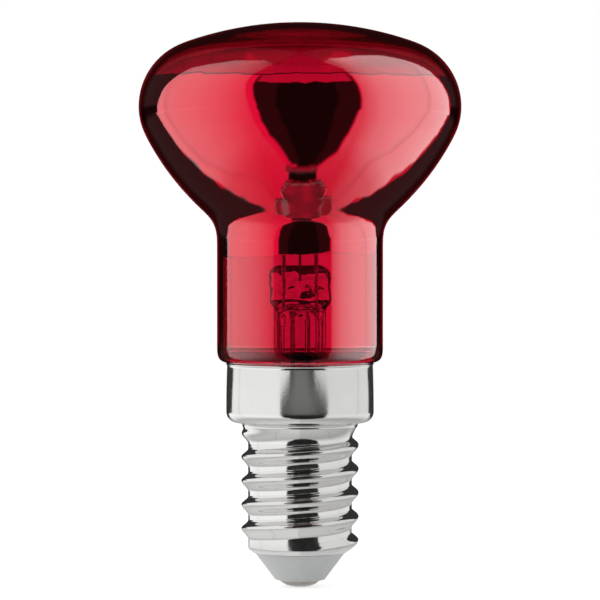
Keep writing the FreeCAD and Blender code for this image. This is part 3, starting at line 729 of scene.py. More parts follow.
def stem_ring(stem, radius, height):
    """One outer ring of the stem, pressed flat and lumpy towards the pinch."""
    flat = eased(height, stem.tube_top, stem.pinch_low)
    closing = max(0, height - (stem.pinch_high - stem.pinch_thick)) / stem.pinch_thick
    shrink = math.sqrt(max(LEAST_END, 1 - closing ** 2))
    half_wide = mixed(radius, stem.pinch_wide - stem.pinch_thick * (1 - shrink), flat)
    half_thick = mixed(radius, stem.pinch_thick * shrink, flat)
    lumpy = eased(height, stem.tube_top - 2 * stem.grain, stem.pinch_low)
    points = []
    for i in range(stem.segments):
        x, y = squarish(half_wide, half_thick, mixed(1, PINCH_BOXY, flat), math.tau * i / stem.segments)
        push = stem.lump * lumpy * ragged(Vector((x, y, height)) / stem.grain, FLAME_NOISE)
        port = math.hypot(x - stem.port_aside, height - stem.port_height) / stem.port_radius
        lip = PORT_LIP * math.exp(-((port - PORT_LIP_AT) / PORT_LIP_WIDE) ** 2)
        dent = flat * stem.lump * (lip - PORT_DENT * math.exp(-port ** 2))
        away = math.hypot(x, y)
        x += SIDE_LUMP * push * x / away
        y += (push * shrink + dent) * y / away
        points.append((x, y, height))
    return points


FLARE_STEP = 0.1


def fill_stem(stem):
    """A function that fills a bmesh with the stem: bore, flange, tube and pinch."""
    foot = stem.tube_radius + stem.flare
    flare_at = (foot, stem.flange_high + stem.flare)
    bore = stem.tube_radius - stem.wall
    bore_end = 3 * QUARTER - FLARE_STEP / 2
    inner = [
        (bore, stem.tube_top),
        (bore, flare_at[1]),
        *arc(flare_at, stem.flare + stem.wall, 2 * QUARTER, bore_end, FLARE_STEP)[1:],
        (foot + stem.wall, stem.flange_low),
        (stem.flange_radius, stem.flange_low),
        (stem.flange_radius, stem.flange_high),
    ]
    outer = arc(flare_at, stem.flare, 3 * QUARTER, 2 * QUARTER, FLARE_STEP)
    rows = round((stem.pinch_high - flare_at[1]) / stem.row)
    outer += [(stem.tube_radius, z) for z in spaced(flare_at[1], stem.pinch_high, rows)[1:]]

    def fill(maker):
        rings = [ring(0, stem.tube_top, stem.segments)]
        rings += [ring(r, max(z, stem.flange_low), stem.segments) for r, z in evenly(inner, 2 * stem.row)]
        rings += [stem_ring(stem, r, z) for r, z in outer]
        rings.append(ring(0, stem.pinch_high, stem.segments))
        add_rings(maker, rings)
    return fill


# The drop's noise is stretched by its tallness, and its outline is uneven by a share of its radius.
DROP_ROWS = 14
DROP_NOISE = ((1, 1.7), (0.6, 4.1))
DROP_TALL = 1.6
DROP_UNEVEN = 0.09


def fill_contact(end):
    """A function that fills a bmesh with the lumpy drop of solder on the centre contact."""
    def fill(maker):
        rings = [[(0, 0, end.drop_top)], ring(end.drop_radius, end.drop_top, end.segments)]
        for turn_down in spaced(0, QUARTER, DROP_ROWS)[1:-1]:
            points = []
            for i in range(end.segments):
                angle = math.tau * i / end.segments
                spot = Vector((math.cos(angle), math.sin(angle), DROP_TALL * math.sin(turn_down)))
                lump = ragged(spot, DROP_NOISE)
                radius = end.drop_radius * math.cos(turn_down) * (1 + DROP_UNEVEN * lump)
                height = mixed(end.drop_top, TIP_LOW.z, math.sin(turn_down))
                height += end.drop_lump * math.cos(turn_down) * max(0, lump)
                points.append((radius * math.cos(angle), radius * math.sin(angle), height))
            rings.append(points)
        rings.append([(0, 0, TIP_LOW.z)])
        add_rings(maker, rings)
    return fill


# Turns of the thread over which it rises from the collar and runs out at the foot.
RUN_IN = (-0.24, 0.02)
RUN_OUT = (4.48, 4.72)


def thread_radius(cap, height, angle):
    """Radius of the rolled thread at a height and an angle round the axis, run-outs included."""
    root = cap.crest_radius - cap.thread_height
    turns = (math.pi - angle) / math.tau
    place = (-cap.thread_start - height) / cap.pitch - turns
    crest = round(place)
    below = place - crest
    flank = cap.lower_flank if below > 0 else cap.upper_flank
    wave = (1 + math.cos(math.pi * min(1, abs(below) / flank))) / 2
    return root + cap.thread_height * within(crest + turns, *RUN_IN, *RUN_OUT) * wave


def softer_min(a, b, bend):
    """The smaller of two numbers, with a bend where they meet."""
    part = min(1, max(0, 0.5 + 0.5 * (b - a) / bend))
    return b + (a - b) * part - bend * part * (1 - part)


# Steps of the bends and the rim's roll are radians, and the rim's depth is counted in beads.
RIM_STEP = 0.2
RIM_ROLL = math.pi / 3
RIM_DEPTH = 2.5
SKIRT_ROWS = 24
SHOULDER_STEP = 0.1
COLLAR_STEP = 0.15
FOOT_EDGE = 0.2 * MM
FOOT_BEND = 0.3 * MM


def cap_rows(cap):
    """Rows of the sheet's outer face from rim to foot: radius, height and the thread's share."""
    rim_at = (cap.skirt_radius - cap.rim_bead, cap.rim - cap.rim_bead)
    bend_at = (cap.skirt_radius - cap.shoulder_bend, cap.shoulder_bend)
    collar_at = (cap.collar_radius + cap.collar_bend, -cap.collar_bend)
    skirt = spaced(cap.rim - RIM_DEPTH * cap.rim_bead, cap.shoulder_bend, SKIRT_ROWS)
    plain = [
        *arc(rim_at, cap.rim_bead, QUARTER, -RIM_ROLL, RIM_STEP),
        *((barrel_radius(cap, z), z) for z in skirt),
        *arc(bend_at, cap.shoulder_bend, -SHOULDER_STEP, -QUARTER, SHOULDER_STEP),
        *arc(collar_at, cap.collar_bend, QUARTER, math.pi, COLLAR_STEP),
    ]
    rows = [(r, z, 0) for r, z in plain]
    foot_edge = cap.foot + FOOT_EDGE
    collar_end = -(cap.collar_bend + cap.row)
    for z in spaced(collar_end, foot_edge, round((collar_end - foot_edge) / cap.row)):
        part = min(1, max(0, (-z - cap.collar_depth) / cap.collar_taper))
        rows.append((cap.collar_radius, z, part * (2 - part)))
    rows.append((cap.foot_radius, cap.foot, 0))
    rows.append((cap.foot_opening, cap.foot, 0))
    return rows


def barrel_radius(cap, height):
    """Radius of the skirt, which draws in a little towards its rim."""
    part = (height - cap.shoulder_bend) / (cap.rim - cap.shoulder_bend)
    return cap.skirt_radius - cap.barrel * part ** 2


def fill_cap(cap):
    """A function that fills a bmesh with the outer face of the cap's sheet."""
    slope = (cap.crest_radius - cap.foot_radius) / cap.foot_rise

    def fill(maker):
        rings = []
        for radius, height, thread_share in cap_rows(cap):
            points = []
            for i in range(cap.segments):
                angle = math.tau * i / cap.segments
                r = radius
                if thread_share:
                    r = mixed(radius, thread_radius(cap, height, angle), thread_share)
                    r = softer_min(r, cap.foot_radius + slope * (height - cap.foot), FOOT_BEND)
                points.append((r * math.cos(angle), r * math.sin(angle), height))
            rings.append(points)
        add_rings(maker, rings)
    return fill


def settings(context):
    return context.scene.heat_lamp


class HEATLAMP_OT_envelope(bpy.types.Operator):
    """Blown red glass in place of the plain envelope"""

    bl_idname = "heat_lamp.envelope"
    bl_label = "Glass Envelope"

    def execute(self, context):
        glass = settings(context).glass
        outside = glass_face(glass, 0, glass.row)
        inside = glass_face(glass, glass.wall, glass.row)
        outside[0] = (0, outside[0][1])
        inside[0] = (0, inside[0][1])
        rings = [blown_ring(glass, r, z) for r, z in outside + inside[::-1]]

        def fill(maker):
            add_rings(maker, rings)
        piece = new_piece("glass_bulb", fill, ["glass_envelope"])
        red_glass(glass).put_on(piece)
        return {"FINISHED"}


class HEATLAMP_OT_film(bpy.types.Operator):
    """Mirror film on the inside of the bowl"""

    bl_idname = "heat_lamp.film"
    bl_label = "Mirror Film"

    def execute(self, context):
        lamp = settings(context)
        piece = new_piece("mirror_film", fill_film(lamp.glass, lamp.film))
        mirror_film(lamp.film).put_on(piece)
        return {"FINISHED"}


class HEATLAMP_OT_stem(bpy.types.Operator):
    """Flame-worked stem in place of the plain one, and the finish of its pump tube"""

    bl_idname = "heat_lamp.stem"
    bl_label = "Glass Stem"

    def execute(self, context):
        piece = new_piece("flat_stem", fill_stem(settings(context).stem), ["stem_glass"])
        clear_glass().put_on(piece, frame["nodes"]["exhaust_tube"])
        return {"FINISHED"}


LEADS = (
    "inner_lead_left",
    "inner_lead_right",
    "seal_wire_left",
    "seal_wire_right",
    "side_lead",
    "centre_lead",
)


class HEATLAMP_OT_wires(bpy.types.Operator):
    """Finish of the leads, seal wires and filament support"""

    bl_idname = "heat_lamp.wires"
    bl_label = "Wires"

    def execute(self, context):
        inner = settings(context).inner
        nodes = frame["nodes"]
        drawn_metal("lead_wire", inner.lead, roughness=0.3).put_on(*(nodes[name] for name in LEADS))
        drawn_metal("support_wire", inner.tungsten, roughness=0.4).put_on(nodes["filament_support"])
        return {"FINISHED"}


class HEATLAMP_OT_filament(bpy.types.Operator):
    """Finish of the coiled filament"""

    bl_idname = "heat_lamp.filament"
    bl_label = "Filament"

    def execute(self, context):
        tungsten = settings(context).inner.tungsten
        drawn_metal("tungsten", tungsten, roughness=0.4).put_on(frame["nodes"]["filament"])
        return {"FINISHED"}


class HEATLAMP_OT_cap(bpy.types.Operator):
    """Nickel sheet cap with its rolled thread in place of the plain one"""

    bl_idname = "heat_lamp.cap"
    bl_label = "Screw Cap"

    def execute(self, context):
        cap = settings(context).cap
        piece = new_piece("cap_sheet", fill_cap(cap), ["cap_shell"])
        solid = piece.modifiers.new("sheet", "SOLIDIFY")
        solid.thickness = cap.wall
        solid.offset = -1
        nickel_sheet(cap).put_on(piece)
        return {"FINISHED"}


class HEATLAMP_OT_contact(bpy.types.Operator):
    """Lumpy solder drop, and the finish of the insulator, contact plate and side solder"""

    bl_idname = "heat_lamp.contact"
    bl_label = "Insulator and Contact"

    def execute(self, context):
        end = settings(context).end
        nodes = frame["nodes"]
        fused_glass(end).put_on(nodes["cap_insulator"])
        drop = new_piece("solder_drop", fill_contact(end), ["contact_solder"])
        solder_metal(end).put_on(drop, nodes["side_solder"])
        drawn_metal("contact_brass", end.brass, roughness=0.3).put_on(nodes["contact_plate"])
        return {"FINISHED"}


class HEATLAMP_OT_cement(bpy.types.Operator):
    """Finish of the basing cement"""

    bl_idname = "heat_lamp.cement"
    bl_label = "Basing Cement"

    def execute(self, context):
        matt_cement(settings(context).inner).put_on(frame["nodes"]["basing_cement"])
        return {"FINISHED"}


# Stage

def emitter(name, strength):
    """A material that only shines."""
    material = bpy.data.materials.new(name)
    material.use_nodes = True
    tree = material.node_tree
    tree.nodes.clear()
    shine = tree.nodes.new("ShaderNodeEmission")
    shine.inputs["Color"].default_value = (1, 1, 1, 1)
    shine.inputs["Strength"].default_value = strength
    output = tree.nodes.new("ShaderNodeOutputMaterial")
    tree.links.new(shine.outputs[0], output.inputs["Surface"])
    return material


def card_light(name, see_through):
    """A material that shines with the brightness stored on each point of a card."""
    material = emitter(name, 1)
    tree = material.node_tree
    stored = tree.nodes.new("ShaderNodeAttribute")
    stored.attribute_name = "brightness"
    shine = next(node for node in tree.nodes if node.type == "EMISSION")
    tree.links.new(stored.outputs["Fac"], shine.inputs["Strength"])
    if see_through:
        clear = tree.nodes.new("ShaderNodeBsdfTransparent")
        both = tree.nodes.new("ShaderNodeAddShader")
        tree.links.new(shine.outputs[0], both.inputs[0])
        tree.links.new(clear.outputs[0], both.inputs[1])
        output = next(node for node in tree.nodes if node.type == "OUTPUT_MATERIAL")
        tree.links.new(both.outputs[0], output.inputs["Surface"])
    material.cycles.emission_sampling = "NONE"
    return material


def sky_point(turn_from_camera, elevation, reach, centre):
    """A point of the dome of cards. Turns are counted from the camera to the right."""
    level_reach = reach * math.cos(elevation)
    return (
        level_reach * math.sin(turn_from_camera),
        -level_reach * math.cos(turn_from_camera),
        centre + reach * math.sin(elevation),
    )


def even_tone(turn_from_camera, place):
    """The tone of a card without a pattern."""
    return 1


def add_card(name, corner, columns, rows, tone, material, seen_by):
    """A card, unseen by the camera and casting no shadow, with the brightness that tone gives each point.

    It has a hole where tone gives None, and only one kind of ray sees it.
    """
    places = [(column, row) for row in rows for column in columns]
    tones = [tone(*place) for place in places]
    wide = len(columns)
    faces = []
    for i in range(len(places) - wide):
        face = (i, i + 1, i + wide + 1, i + wide)
        if (i + 1) % wide and all(tones[k] is not None for k in face):
            faces.append(face)
    mesh = bpy.data.meshes.new(name)
    mesh.from_pydata([corner(*place) for place in places], [], faces)
    stored = mesh.attributes.new("brightness", "FLOAT", "POINT")
    stored.data.foreach_set("value", [value or 0 for value in tones])
    card = bpy.data.objects.new(name, mesh)
    bpy.context.scene.collection.objects.link(card)
    card.data.materials.append(material)
    card.visible_camera = False
    card.visible_shadow = False
    card.visible_diffuse = seen_by == "diffuse"
    card.visible_glossy = seen_by == "glossy"
    card.visible_transmission = seen_by == "transmission"
    return card


def seen_directly(tree):
    """1 for rays that show a surface, straight or in metal and glass, and 0 for those that light it."""
    path = tree.nodes.new("ShaderNodeLightPath")
    shown = path.outputs["Is Camera Ray"]
    for name in ("Is Glossy Ray", "Is Transmission Ray"):
        most = tree.nodes.new("ShaderNodeMath")
        most.operation = "MAXIMUM"
        tree.links.new(shown, most.inputs[0])
        tree.links.new(path.outputs[name], most.inputs[1])
        shown = most.outputs[0]
    return shown


def make_room(stage):
    """A white room, which lights matt faces less than it shows."""
    world = bpy.data.worlds.new("studio")
    bpy.context.scene.world = world
    world.use_nodes = True
    tree = world.node_tree
    strength = tree.nodes.new("ShaderNodeMapRange")
    strength.inputs["To Min"].default_value = stage.fill
    tree.links.new(seen_directly(tree), strength.inputs["Value"])
    background = tree.nodes["Background"]
    background.inputs["Color"].default_value = (1, 1, 1, 1)
    tree.links.new(strength.outputs["Result"], background.inputs["Strength"])


def floor_lift(tree, stage):
    """Light that whitens the floor, by the distance from the lamp."""
    spot = tree.nodes.new("ShaderNodeTexCoord")
    away = tree.nodes.new("ShaderNodeVectorMath")
    away.operation = "LENGTH"
    tree.links.new(spot.outputs["Object"], away.inputs[0])
    fade = tree.nodes.new("ShaderNodeMapRange")
    fade.interpolation_type = "SMOOTHSTEP"
    fade.inputs["From Min"].default_value = stage.lift_start
    fade.inputs["From Max"].default_value = stage.lift_end
    fade.inputs["To Min"].default_value = stage.floor_lift[0]
    fade.inputs["To Max"].default_value = stage.floor_lift[1]
    tree.links.new(away.outputs["Value"], fade.inputs["Value"])
    return fade.outputs["Result"]


FLOOR_GAP = 0.01 * MM
FLOOR_SEGMENTS = 96


def make_floor(stage):
    """A pale floor that reads white and keeps the lamp's shadow."""
    material = bpy.data.materials.new("pale_floor")
    material.use_nodes = True
    tree = material.node_tree
    tree.nodes.clear()
    matt = tree.nodes.new("ShaderNodeBsdfDiffuse")
    matt.inputs["Color"].default_value = (stage.floor_tone, stage.floor_tone, stage.floor_tone, 1)
    lift = tree.nodes.new("ShaderNodeMath")
    lift.operation = "MULTIPLY"
    tree.links.new(seen_directly(tree), lift.inputs[0])
    tree.links.new(floor_lift(tree, stage), lift.inputs[1])
    glow = tree.nodes.new("ShaderNodeEmission")
    tree.links.new(lift.outputs[0], glow.inputs["Strength"])
    both = tree.nodes.new("ShaderNodeAddShader")
    tree.links.new(matt.outputs[0], both.inputs[0])
    tree.links.new(glow.outputs[0], both.inputs[1])
    output = tree.nodes.new("ShaderNodeOutputMaterial")
    tree.links.new(both.outputs[0], output.inputs["Surface"])
    mesh = bpy.data.meshes.new("floor")
    maker = bmesh.new()
    bmesh.ops.create_circle(maker, cap_ends=True, segments=FLOOR_SEGMENTS, radius=stage.floor_radius)
    maker.to_mesh(mesh)
    maker.free()
    floor = bpy.data.objects.new("floor", mesh)
    floor.location.z = CAD_BOX[0].z - FLOOR_GAP
    bpy.context.scene.collection.objects.link(floor)
    floor.data.materials.append(material)


# The sensor is in millimetres, as the lens is, and the clipping distances are metres.
SENSOR_WIDTH = 36
CLIP_NEAR = 0.01
CLIP_FAR = 20


def make_camera(stage):
    """A long lens that looks a little down at the lamp."""
    data = bpy.data.cameras.new("camera")
    data.sensor_width = SENSOR_WIDTH
    data.lens = stage.lens / MM
    data.clip_start = CLIP_NEAR
    data.clip_end = CLIP_FAR
    camera = bpy.data.objects.new("camera", data)
    camera.location = (0, -stage.distance, stage.eye)
    aim = Vector((0, 0, stage.aim)) - camera.location
    camera.rotation_mode = "QUATERNION"
    camera.rotation_quaternion = aim.to_track_quat("-Z", "Y")
    bpy.context.scene.collection.objects.link(camera)
    bpy.context.scene.camera = camera


# Metal and glass see a dome and a floor of cards that the camera doesn't. There are three sets of cards:
# sheen is what the glass mirrors, metal is what the cap mirrors, and glow is what shows through the glass.
SHEEN, METAL, GLOW = range(3)

# Outlines of the two soft panels and of their light on the floor, seen from the lamp. Turns are degrees
# from the camera's direction. Sky lines give the turn at an elevation in degrees, except the tops, which
# give the elevation at a turn. Floor lines give the turn at a distance in millimetres. The sheen line gives
# its brightness at a turn, and sheen starts later and ends sooner than the outline by the turns given. In
# metal the top is shifted by one turn low down and another high up, and the light on the floor goes at
# least as far as the reach.
LEFT_PANEL = {
    "side": 0,
    "sky_core": ((0, 17),),
    "sky_near": ((0, 31), (33, 37), (45, 37), (65, 29)),
    "sky_top": ((29, 65), (57, 70), (88, 62), (111, 41), (118, 20), (126, -12)),
    "sky_seam": ((0, 110), (20, 111), (45, 104)),
    "floor_core": ((36, 1), (50, 8), (99, 13), (500, 17)),
    "floor_near": ((32, 0), (35, 11), (57, 25), (102, 28), (400, 31)),
    "floor_far": ((20, 85), (29, 95), (64, 110), (108, 118), (500, 125)),
    "floor_seam": ((29, 51), (44, 82), (65, 98), (93, 105), (400, 110)),
    "sheen": ((36, 0.20), (46, 0.42), (60, 0.72), (80, 1.05), (112, 1.15)),
    "sheen_later": 5,
    "sheen_sooner": 2.5,
    "metal_shift": (-6, -20),
    "metal_reach": 146,
}
RIGHT_PANEL = {
    "side": 1,
    "sky_core": ((0, 27),),
    "sky_near": ((0, 44), (45, 45), (58, 43), (69, 35)),
    "sky_top": ((35, 69), (60, 74), (106, 68), (123, 58), (130, 36), (139, -12)),
    "sky_seam": ((0, 103), (20, 106), (45, 117)),
    "floor_core": ((32, 12), (48, 23), (480, 26)),
    "floor_near": ((32, 12), (35, 22), (45, 35), (63, 39), (400, 44)),
    "floor_far": ((24, 93), (45, 109), (88, 123), (149, 130), (500, 135)),
    "floor_seam": ((47, 70), (66, 86), (94, 94), (400, 103)),
    "sheen": ((44, 0.40), (60, 1.4), (80, 1.95), (138, 2.2)),
    "sheen_later": 0,
    "sheen_sooner": 5,
    "metal_shift": (4, 4),
    "metal_reach": 140,
}

# Share of a panel's light that the floor gives at a distance in millimetres, for sheen, metal and glow.
FLOOR_LIGHT = (
    ((20, 0.15), (40, 0.36), (55, 0.85), (90, 1.0)),
    ((10, 0.80), (18, 0.66), (32, 0.54), (55, 1.0), (100, 1.15), (300, 1.0)),
    ((20, 0.85), (60, 0.98), (120, 1.0)),
)

SEAM_DARK = 0.2
SEAM_WIDE = 1.6


def panel_light(stage, kind, panel, aside, seam):
    """Brightness of a panel at a turn, with a soft dark line at the seam of its two sheets."""
    if kind == SHEEN:
        light = between(panel["sheen"], aside)
    elif kind == METAL:
        light = stage.shine[panel["side"]]
    else:
        light = stage.glow[panel["side"]]
    return light * (1 - SEAM_DARK * math.exp(-((aside - seam) / SEAM_WIDE) ** 2))


# In metal the dark core narrows towards the floor's far edge, where the ground is paler in the middle. The
# narrowing goes by elevation in degrees, seen from a height in millimetres above the floor.
CORE_NARROWING = 0.5
SKY_NARROWS = (-3.2, 0.8, 6, 10)
FLOOR_NARROWS = (-2.2, 1.8)
SIGHT_HEIGHT = 23
FAR_EDGE_TONES = (0.22, 0.07)


def far_edge_tone(aside, near):
    """Tone of the ground before the panels in metal, at the floor's far edge."""
    return mixed(*FAR_EDGE_TONES, eased(aside, 0.3 * near, 0.8 * near + 1))


# Soft steps of the dome, from start to end in degrees of turn or elevation, with their tones, and half
# widths of its edges. The rear is behind the lamp, the backdrop is what the neck shows right behind it, the
# level band lies at the lamp's own height, and the roof is high up before the panels.
REAR_DIM = (138, 150)
REAR_SHEEN = 0.12
BACKDROP_TURN = (159, 165)
BACKDROP_FOOT = 1
BACKDROP_WAVE = 2.5
BACKDROP_GLOW = ((1, 0.85), (10, 0.80), (13.5, 0.52), (16, 0.14), (19, 0.05), (90, 0.05))
LEVEL_BAND = (2, 4)
LEVEL_SHEEN = 0.2
LEVEL_GLOW = 0.3
FAR_EDGE_END = (2.5, 4.5)
SHIFT_RANGE = (3, 8)
ROOF_START = 37
ROOF_WAVE = 2
ROOF_GLOW = 0.9
ROOF_EDGE = (4, 1)
CORE_SOFT = 0.6
NEAR_SOFT = 1
PANEL_SOFT = 0.8


def sky_tone(stage, kind, turn_from_camera, elevation):
    """Brightness of the dome of cards in a direction, given in degrees."""
    left = turn_from_camera < 0
    panel = LEFT_PANEL if left else RIGHT_PANEL
    aside = abs(turn_from_camera)
    if kind == GLOW and aside > BACKDROP_TURN[1]:
        wave = BACKDROP_WAVE * wavy(0.4 * turn_from_camera, 0.15 * elevation, 3.3)
        return between(BACKDROP_GLOW, elevation + wave) if elevation > BACKDROP_FOOT else None
    near = between(panel["sky_near"], elevation)
    inner = between(panel["sky_core"], elevation)
    back = stage.back_tone[kind]
    part = eased(aside, inner - CORE_SOFT, inner + CORE_SOFT)
    ground = mixed(stage.core_tone[kind], stage.side_tone[kind], part)
    shift = wavy(0.15 * elevation, 4.0 * kind, 2.0 * left)
    if kind == SHEEN:
        near += panel["sheen_later"]
        shift += panel["sheen_sooner"]
        back *= mixed(LEVEL_SHEEN, 1, eased(abs(elevation), *LEVEL_BAND))
        back *= mixed(1, REAR_SHEEN, eased(aside, *REAR_DIM))
    elif kind == METAL:
        near *= 1 - CORE_NARROWING * within(elevation, *SKY_NARROWS)
        shift += mixed(*panel["metal_shift"], eased(elevation, *SHIFT_RANGE))
        ground = mixed(far_edge_tone(aside, near), ground, eased(elevation, *FAR_EDGE_END))
    else:
        back *= mixed(LEVEL_GLOW, 1, eased(abs(elevation), *LEVEL_BAND))
        back = mixed(back, between(BACKDROP_GLOW, elevation), eased(aside, *BACKDROP_TURN))
    ground = mixed(ground, back, eased(aside, near - NEAR_SOFT, near + NEAR_SOFT))
    if kind == GLOW and elevation > ROOF_START + ROOF_WAVE * wavy(0.12 * turn_from_camera, 0, 8.8):
        ground = mixed(ROOF_GLOW, ground, eased(aside, near - ROOF_EDGE[0], near - ROOF_EDGE[1]))
    light = panel_light(stage, kind, panel, aside, between(panel["sky_seam"], elevation))
    inside = min(aside - near, between(panel["sky_top"], aside + shift) - elevation)
    return mixed(ground, light, eased(inside, -PANEL_SOFT, PANEL_SOFT))


# Soft steps of the floor, from start to end in millimetres from the lamp, with their tones and turns, and
# the softness of its edges.
BACKDROP_GAP = 300
EDGE_SOFT = 0.8
EDGE_SPREAD = 30
RAG_PACE = 4.5
RAG_DEPTHS = (6, 1)
RAG_RANGE = (35, 110)
FAR_EDGE_START = (250, 330)
METAL_REACH_FAR = 132
METAL_REACH_RANGE = (180, 300)
METAL_BACK = 0.55
METAL_BACK_RANGE = (45, 110)
FAR_SHEEN = 0.4
FAR_SHEEN_RANGE = (400, 550)
# The floor under the cap, which metal mirrors without a dark core: millimetres to the right and towards
# the camera.
UNDER_ACROSS = (-8, -4, 8, 12)
UNDER_END = (29, 34)


def floor_tone(stage, kind, turn_from_camera, reach):
    """Brightness of the floor in metal and glass, at a turn in degrees and a distance in millimetres."""
    left = turn_from_camera < 0
    panel = LEFT_PANEL if left else RIGHT_PANEL
    aside = abs(turn_from_camera)
    if kind == GLOW and aside > BACKDROP_TURN[1] and reach > BACKDROP_GAP:
        return None
    near = between(panel["floor_near"], reach)
    far = between(panel["floor_far"], reach)
    rag = wavy(RAG_PACE * math.log(reach), 4.0 * kind, 2.0 * left)
    far += rag * mixed(*RAG_DEPTHS, eased(reach, *RAG_RANGE))
    core = stage.core_tone[kind]
    beside = stage.side_tone[kind]
    back = stage.back_tone[kind]
    if kind == SHEEN:
        near += panel["sheen_later"]
        far -= panel["sheen_sooner"]
        back *= mixed(1, FAR_SHEEN, eased(reach, *FAR_SHEEN_RANGE))
        back *= mixed(1, REAR_SHEEN, eased(aside, *REAR_DIM))
    elif kind == METAL:
        sight = -math.degrees(math.atan(SIGHT_HEIGHT / reach))
        near *= 1 - CORE_NARROWING * eased(sight, *FLOOR_NARROWS)
        far = max(far, mixed(panel["metal_reach"], METAL_REACH_FAR, eased(reach, *METAL_REACH_RANGE)))
        core = mixed(core, far_edge_tone(aside, near), eased(reach, *FAR_EDGE_START))
        beside = core
        back = mixed(METAL_BACK, back, eased(reach, *METAL_BACK_RANGE))
    soft = EDGE_SOFT + EDGE_SPREAD / reach
    inner = between(panel["floor_core"], reach)
    ground = mixed(core, beside, eased(aside, inner - soft, inner + soft))
    ground = mixed(ground, back, eased(aside, near, near + soft))
    light = panel_light(stage, kind, panel, aside, between(panel["floor_seam"], reach))
    light *= between(FLOOR_LIGHT[kind], reach)
    tone = mixed(ground, light, eased(min(aside - near, far - aside), -soft, soft))
    across = reach * math.sin(math.radians(turn_from_camera))
    ahead = reach * math.cos(math.radians(turn_from_camera))
    if kind == METAL:
        return mixed(tone, light, within(across, *UNDER_ACROSS) * (1 - eased(ahead, *UNDER_END)))
    # Near the lamp, glass sees a painted shade of the lamp's own foot on the floor.
    return painted_throat_shade(kind, tone, core, across, ahead)


# What the throat of the bowl mirrors of the floor near the lamp: a painted shade that stands in for the
# lamp's own foot, so that the throat shows a painted reflection of it. It is vase-shaped, with painted
# streaks of sheen and a pale painted rim, and has a strip of painted shade before it and a hoop of painted
# shade before that. Places are millimetres to the right and towards the camera.
VASE_AXIS = 2
VASE_HALF = 10.5
VASE_BULGE = 2.4
VASE_BULGE_AT = 17
VASE_BULGE_LONG = 3
VASE_FLARE = 5
VASE_FLARE_END = (10.5, 13.5)
VASE_RAG = 0.6
VASE_START = -1
VASE_END = 23
VASE_SOFT = 0.5
VASE_GLOW = 0.42
VASE_CLOUD = 0.3
VASE_SHEEN = 0.05
VASE_STREAK = 0.4
STREAK_ASIDE = (6, 9)
STREAK_NOISE = (0.1, 0.5)
VASE_RIM_INSET = 0.2
VASE_RIM_WIDE = 0.45
VASE_RIM_START = (3, 8)
VASE_RIM_STRENGTH = 0.8
VASE_RIM_SHEEN = 0.45
VASE_RIM_GLOW = 0.12
STRIP_ACROSS = (-7.5, -6.5, 9.5, 10.5)
STRIP_AHEAD = (23, 24, 28.5, 29.5)
HOOP_ACROSS = (-10, -8, 10, 12)
HOOP_AHEAD = (28, 29, 32, 33)
HOOP_SHEEN = 0.08
HOOP_GLOW = 0.42


def painted_throat_shade(kind, tone, core, across, ahead):
    """Tone of the floor with the painted shade of the lamp's foot that the bowl's throat mirrors."""
    half = VASE_HALF
    half += VASE_BULGE * math.exp(-((ahead - VASE_BULGE_AT) / VASE_BULGE_LONG) ** 2)
    half += VASE_FLARE * (1 - eased(ahead, *VASE_FLARE_END))
    half += VASE_RAG * wavy(ahead / 2.2, across / 9, 1.4)
    aside = abs(across - VASE_AXIS)
    inside = min(half - aside, VASE_END - ahead, ahead - VASE_START)
    # Painted shade: cloudy in glow, and dark with sparse painted streaks of sheen in the glass's sheen.
    if kind == GLOW:
        shade = VASE_GLOW + VASE_CLOUD * wavy(across / 7, ahead / 5, 5.1)
    else:
        painted_streak = eased(aside, *STREAK_ASIDE) * eased(wavy(across / 5, ahead / 4, 9.4), *STREAK_NOISE)
        shade = VASE_SHEEN + VASE_STREAK * painted_streak
    tone = mixed(tone, shade, eased(inside, -VASE_SOFT, VASE_SOFT))
    # A pale painted highlight along the painted shade's edge.
    rim = math.exp(-((inside - VASE_RIM_INSET) / VASE_RIM_WIDE) ** 2) * eased(ahead, *VASE_RIM_START)
    tone = mixed(tone, VASE_RIM_GLOW if kind == GLOW else VASE_RIM_SHEEN, VASE_RIM_STRENGTH * rim)
    # A hoop of painted shade, and between it and the vase a strip of painted shade as dark as the core.
    hoop = within(across, *HOOP_ACROSS) * within(ahead, *HOOP_AHEAD)
    tone = mixed(tone, HOOP_GLOW if kind == GLOW else HOOP_SHEEN, hoop)
    return mixed(tone, core, within(across, *STRIP_ACROSS) * within(ahead, *STRIP_AHEAD))


def receivers(name, things):
    """A list of the only objects that a card shines on."""
    group = bpy.data.collections.new(name)
    for thing in things:
        group.objects.link(thing)
    return group


# Angles of the dome and of the two lamps are degrees, distances on the floor are millimetres.
DOME_LOW = -4
DOME_HIGH = 90
FLOOR_NEAREST = 3
FLOOR_OVERHANG = 1.15
FLOOR_ROWS = 120
LAMP_HIGH = 65
LAMP_COLUMNS = 16
LAMP_ROWS = 12
# Cards of different kinds keep apart by these amounts.
CARD_LIFT = 0.05 * MM
CARD_STEP = 0.02 * MM
DOME_STEP = 0.01
BACKING_DROP = 0.03 * MM
BACKING_SCALE = 1.04
BACKING_COARSE = 10


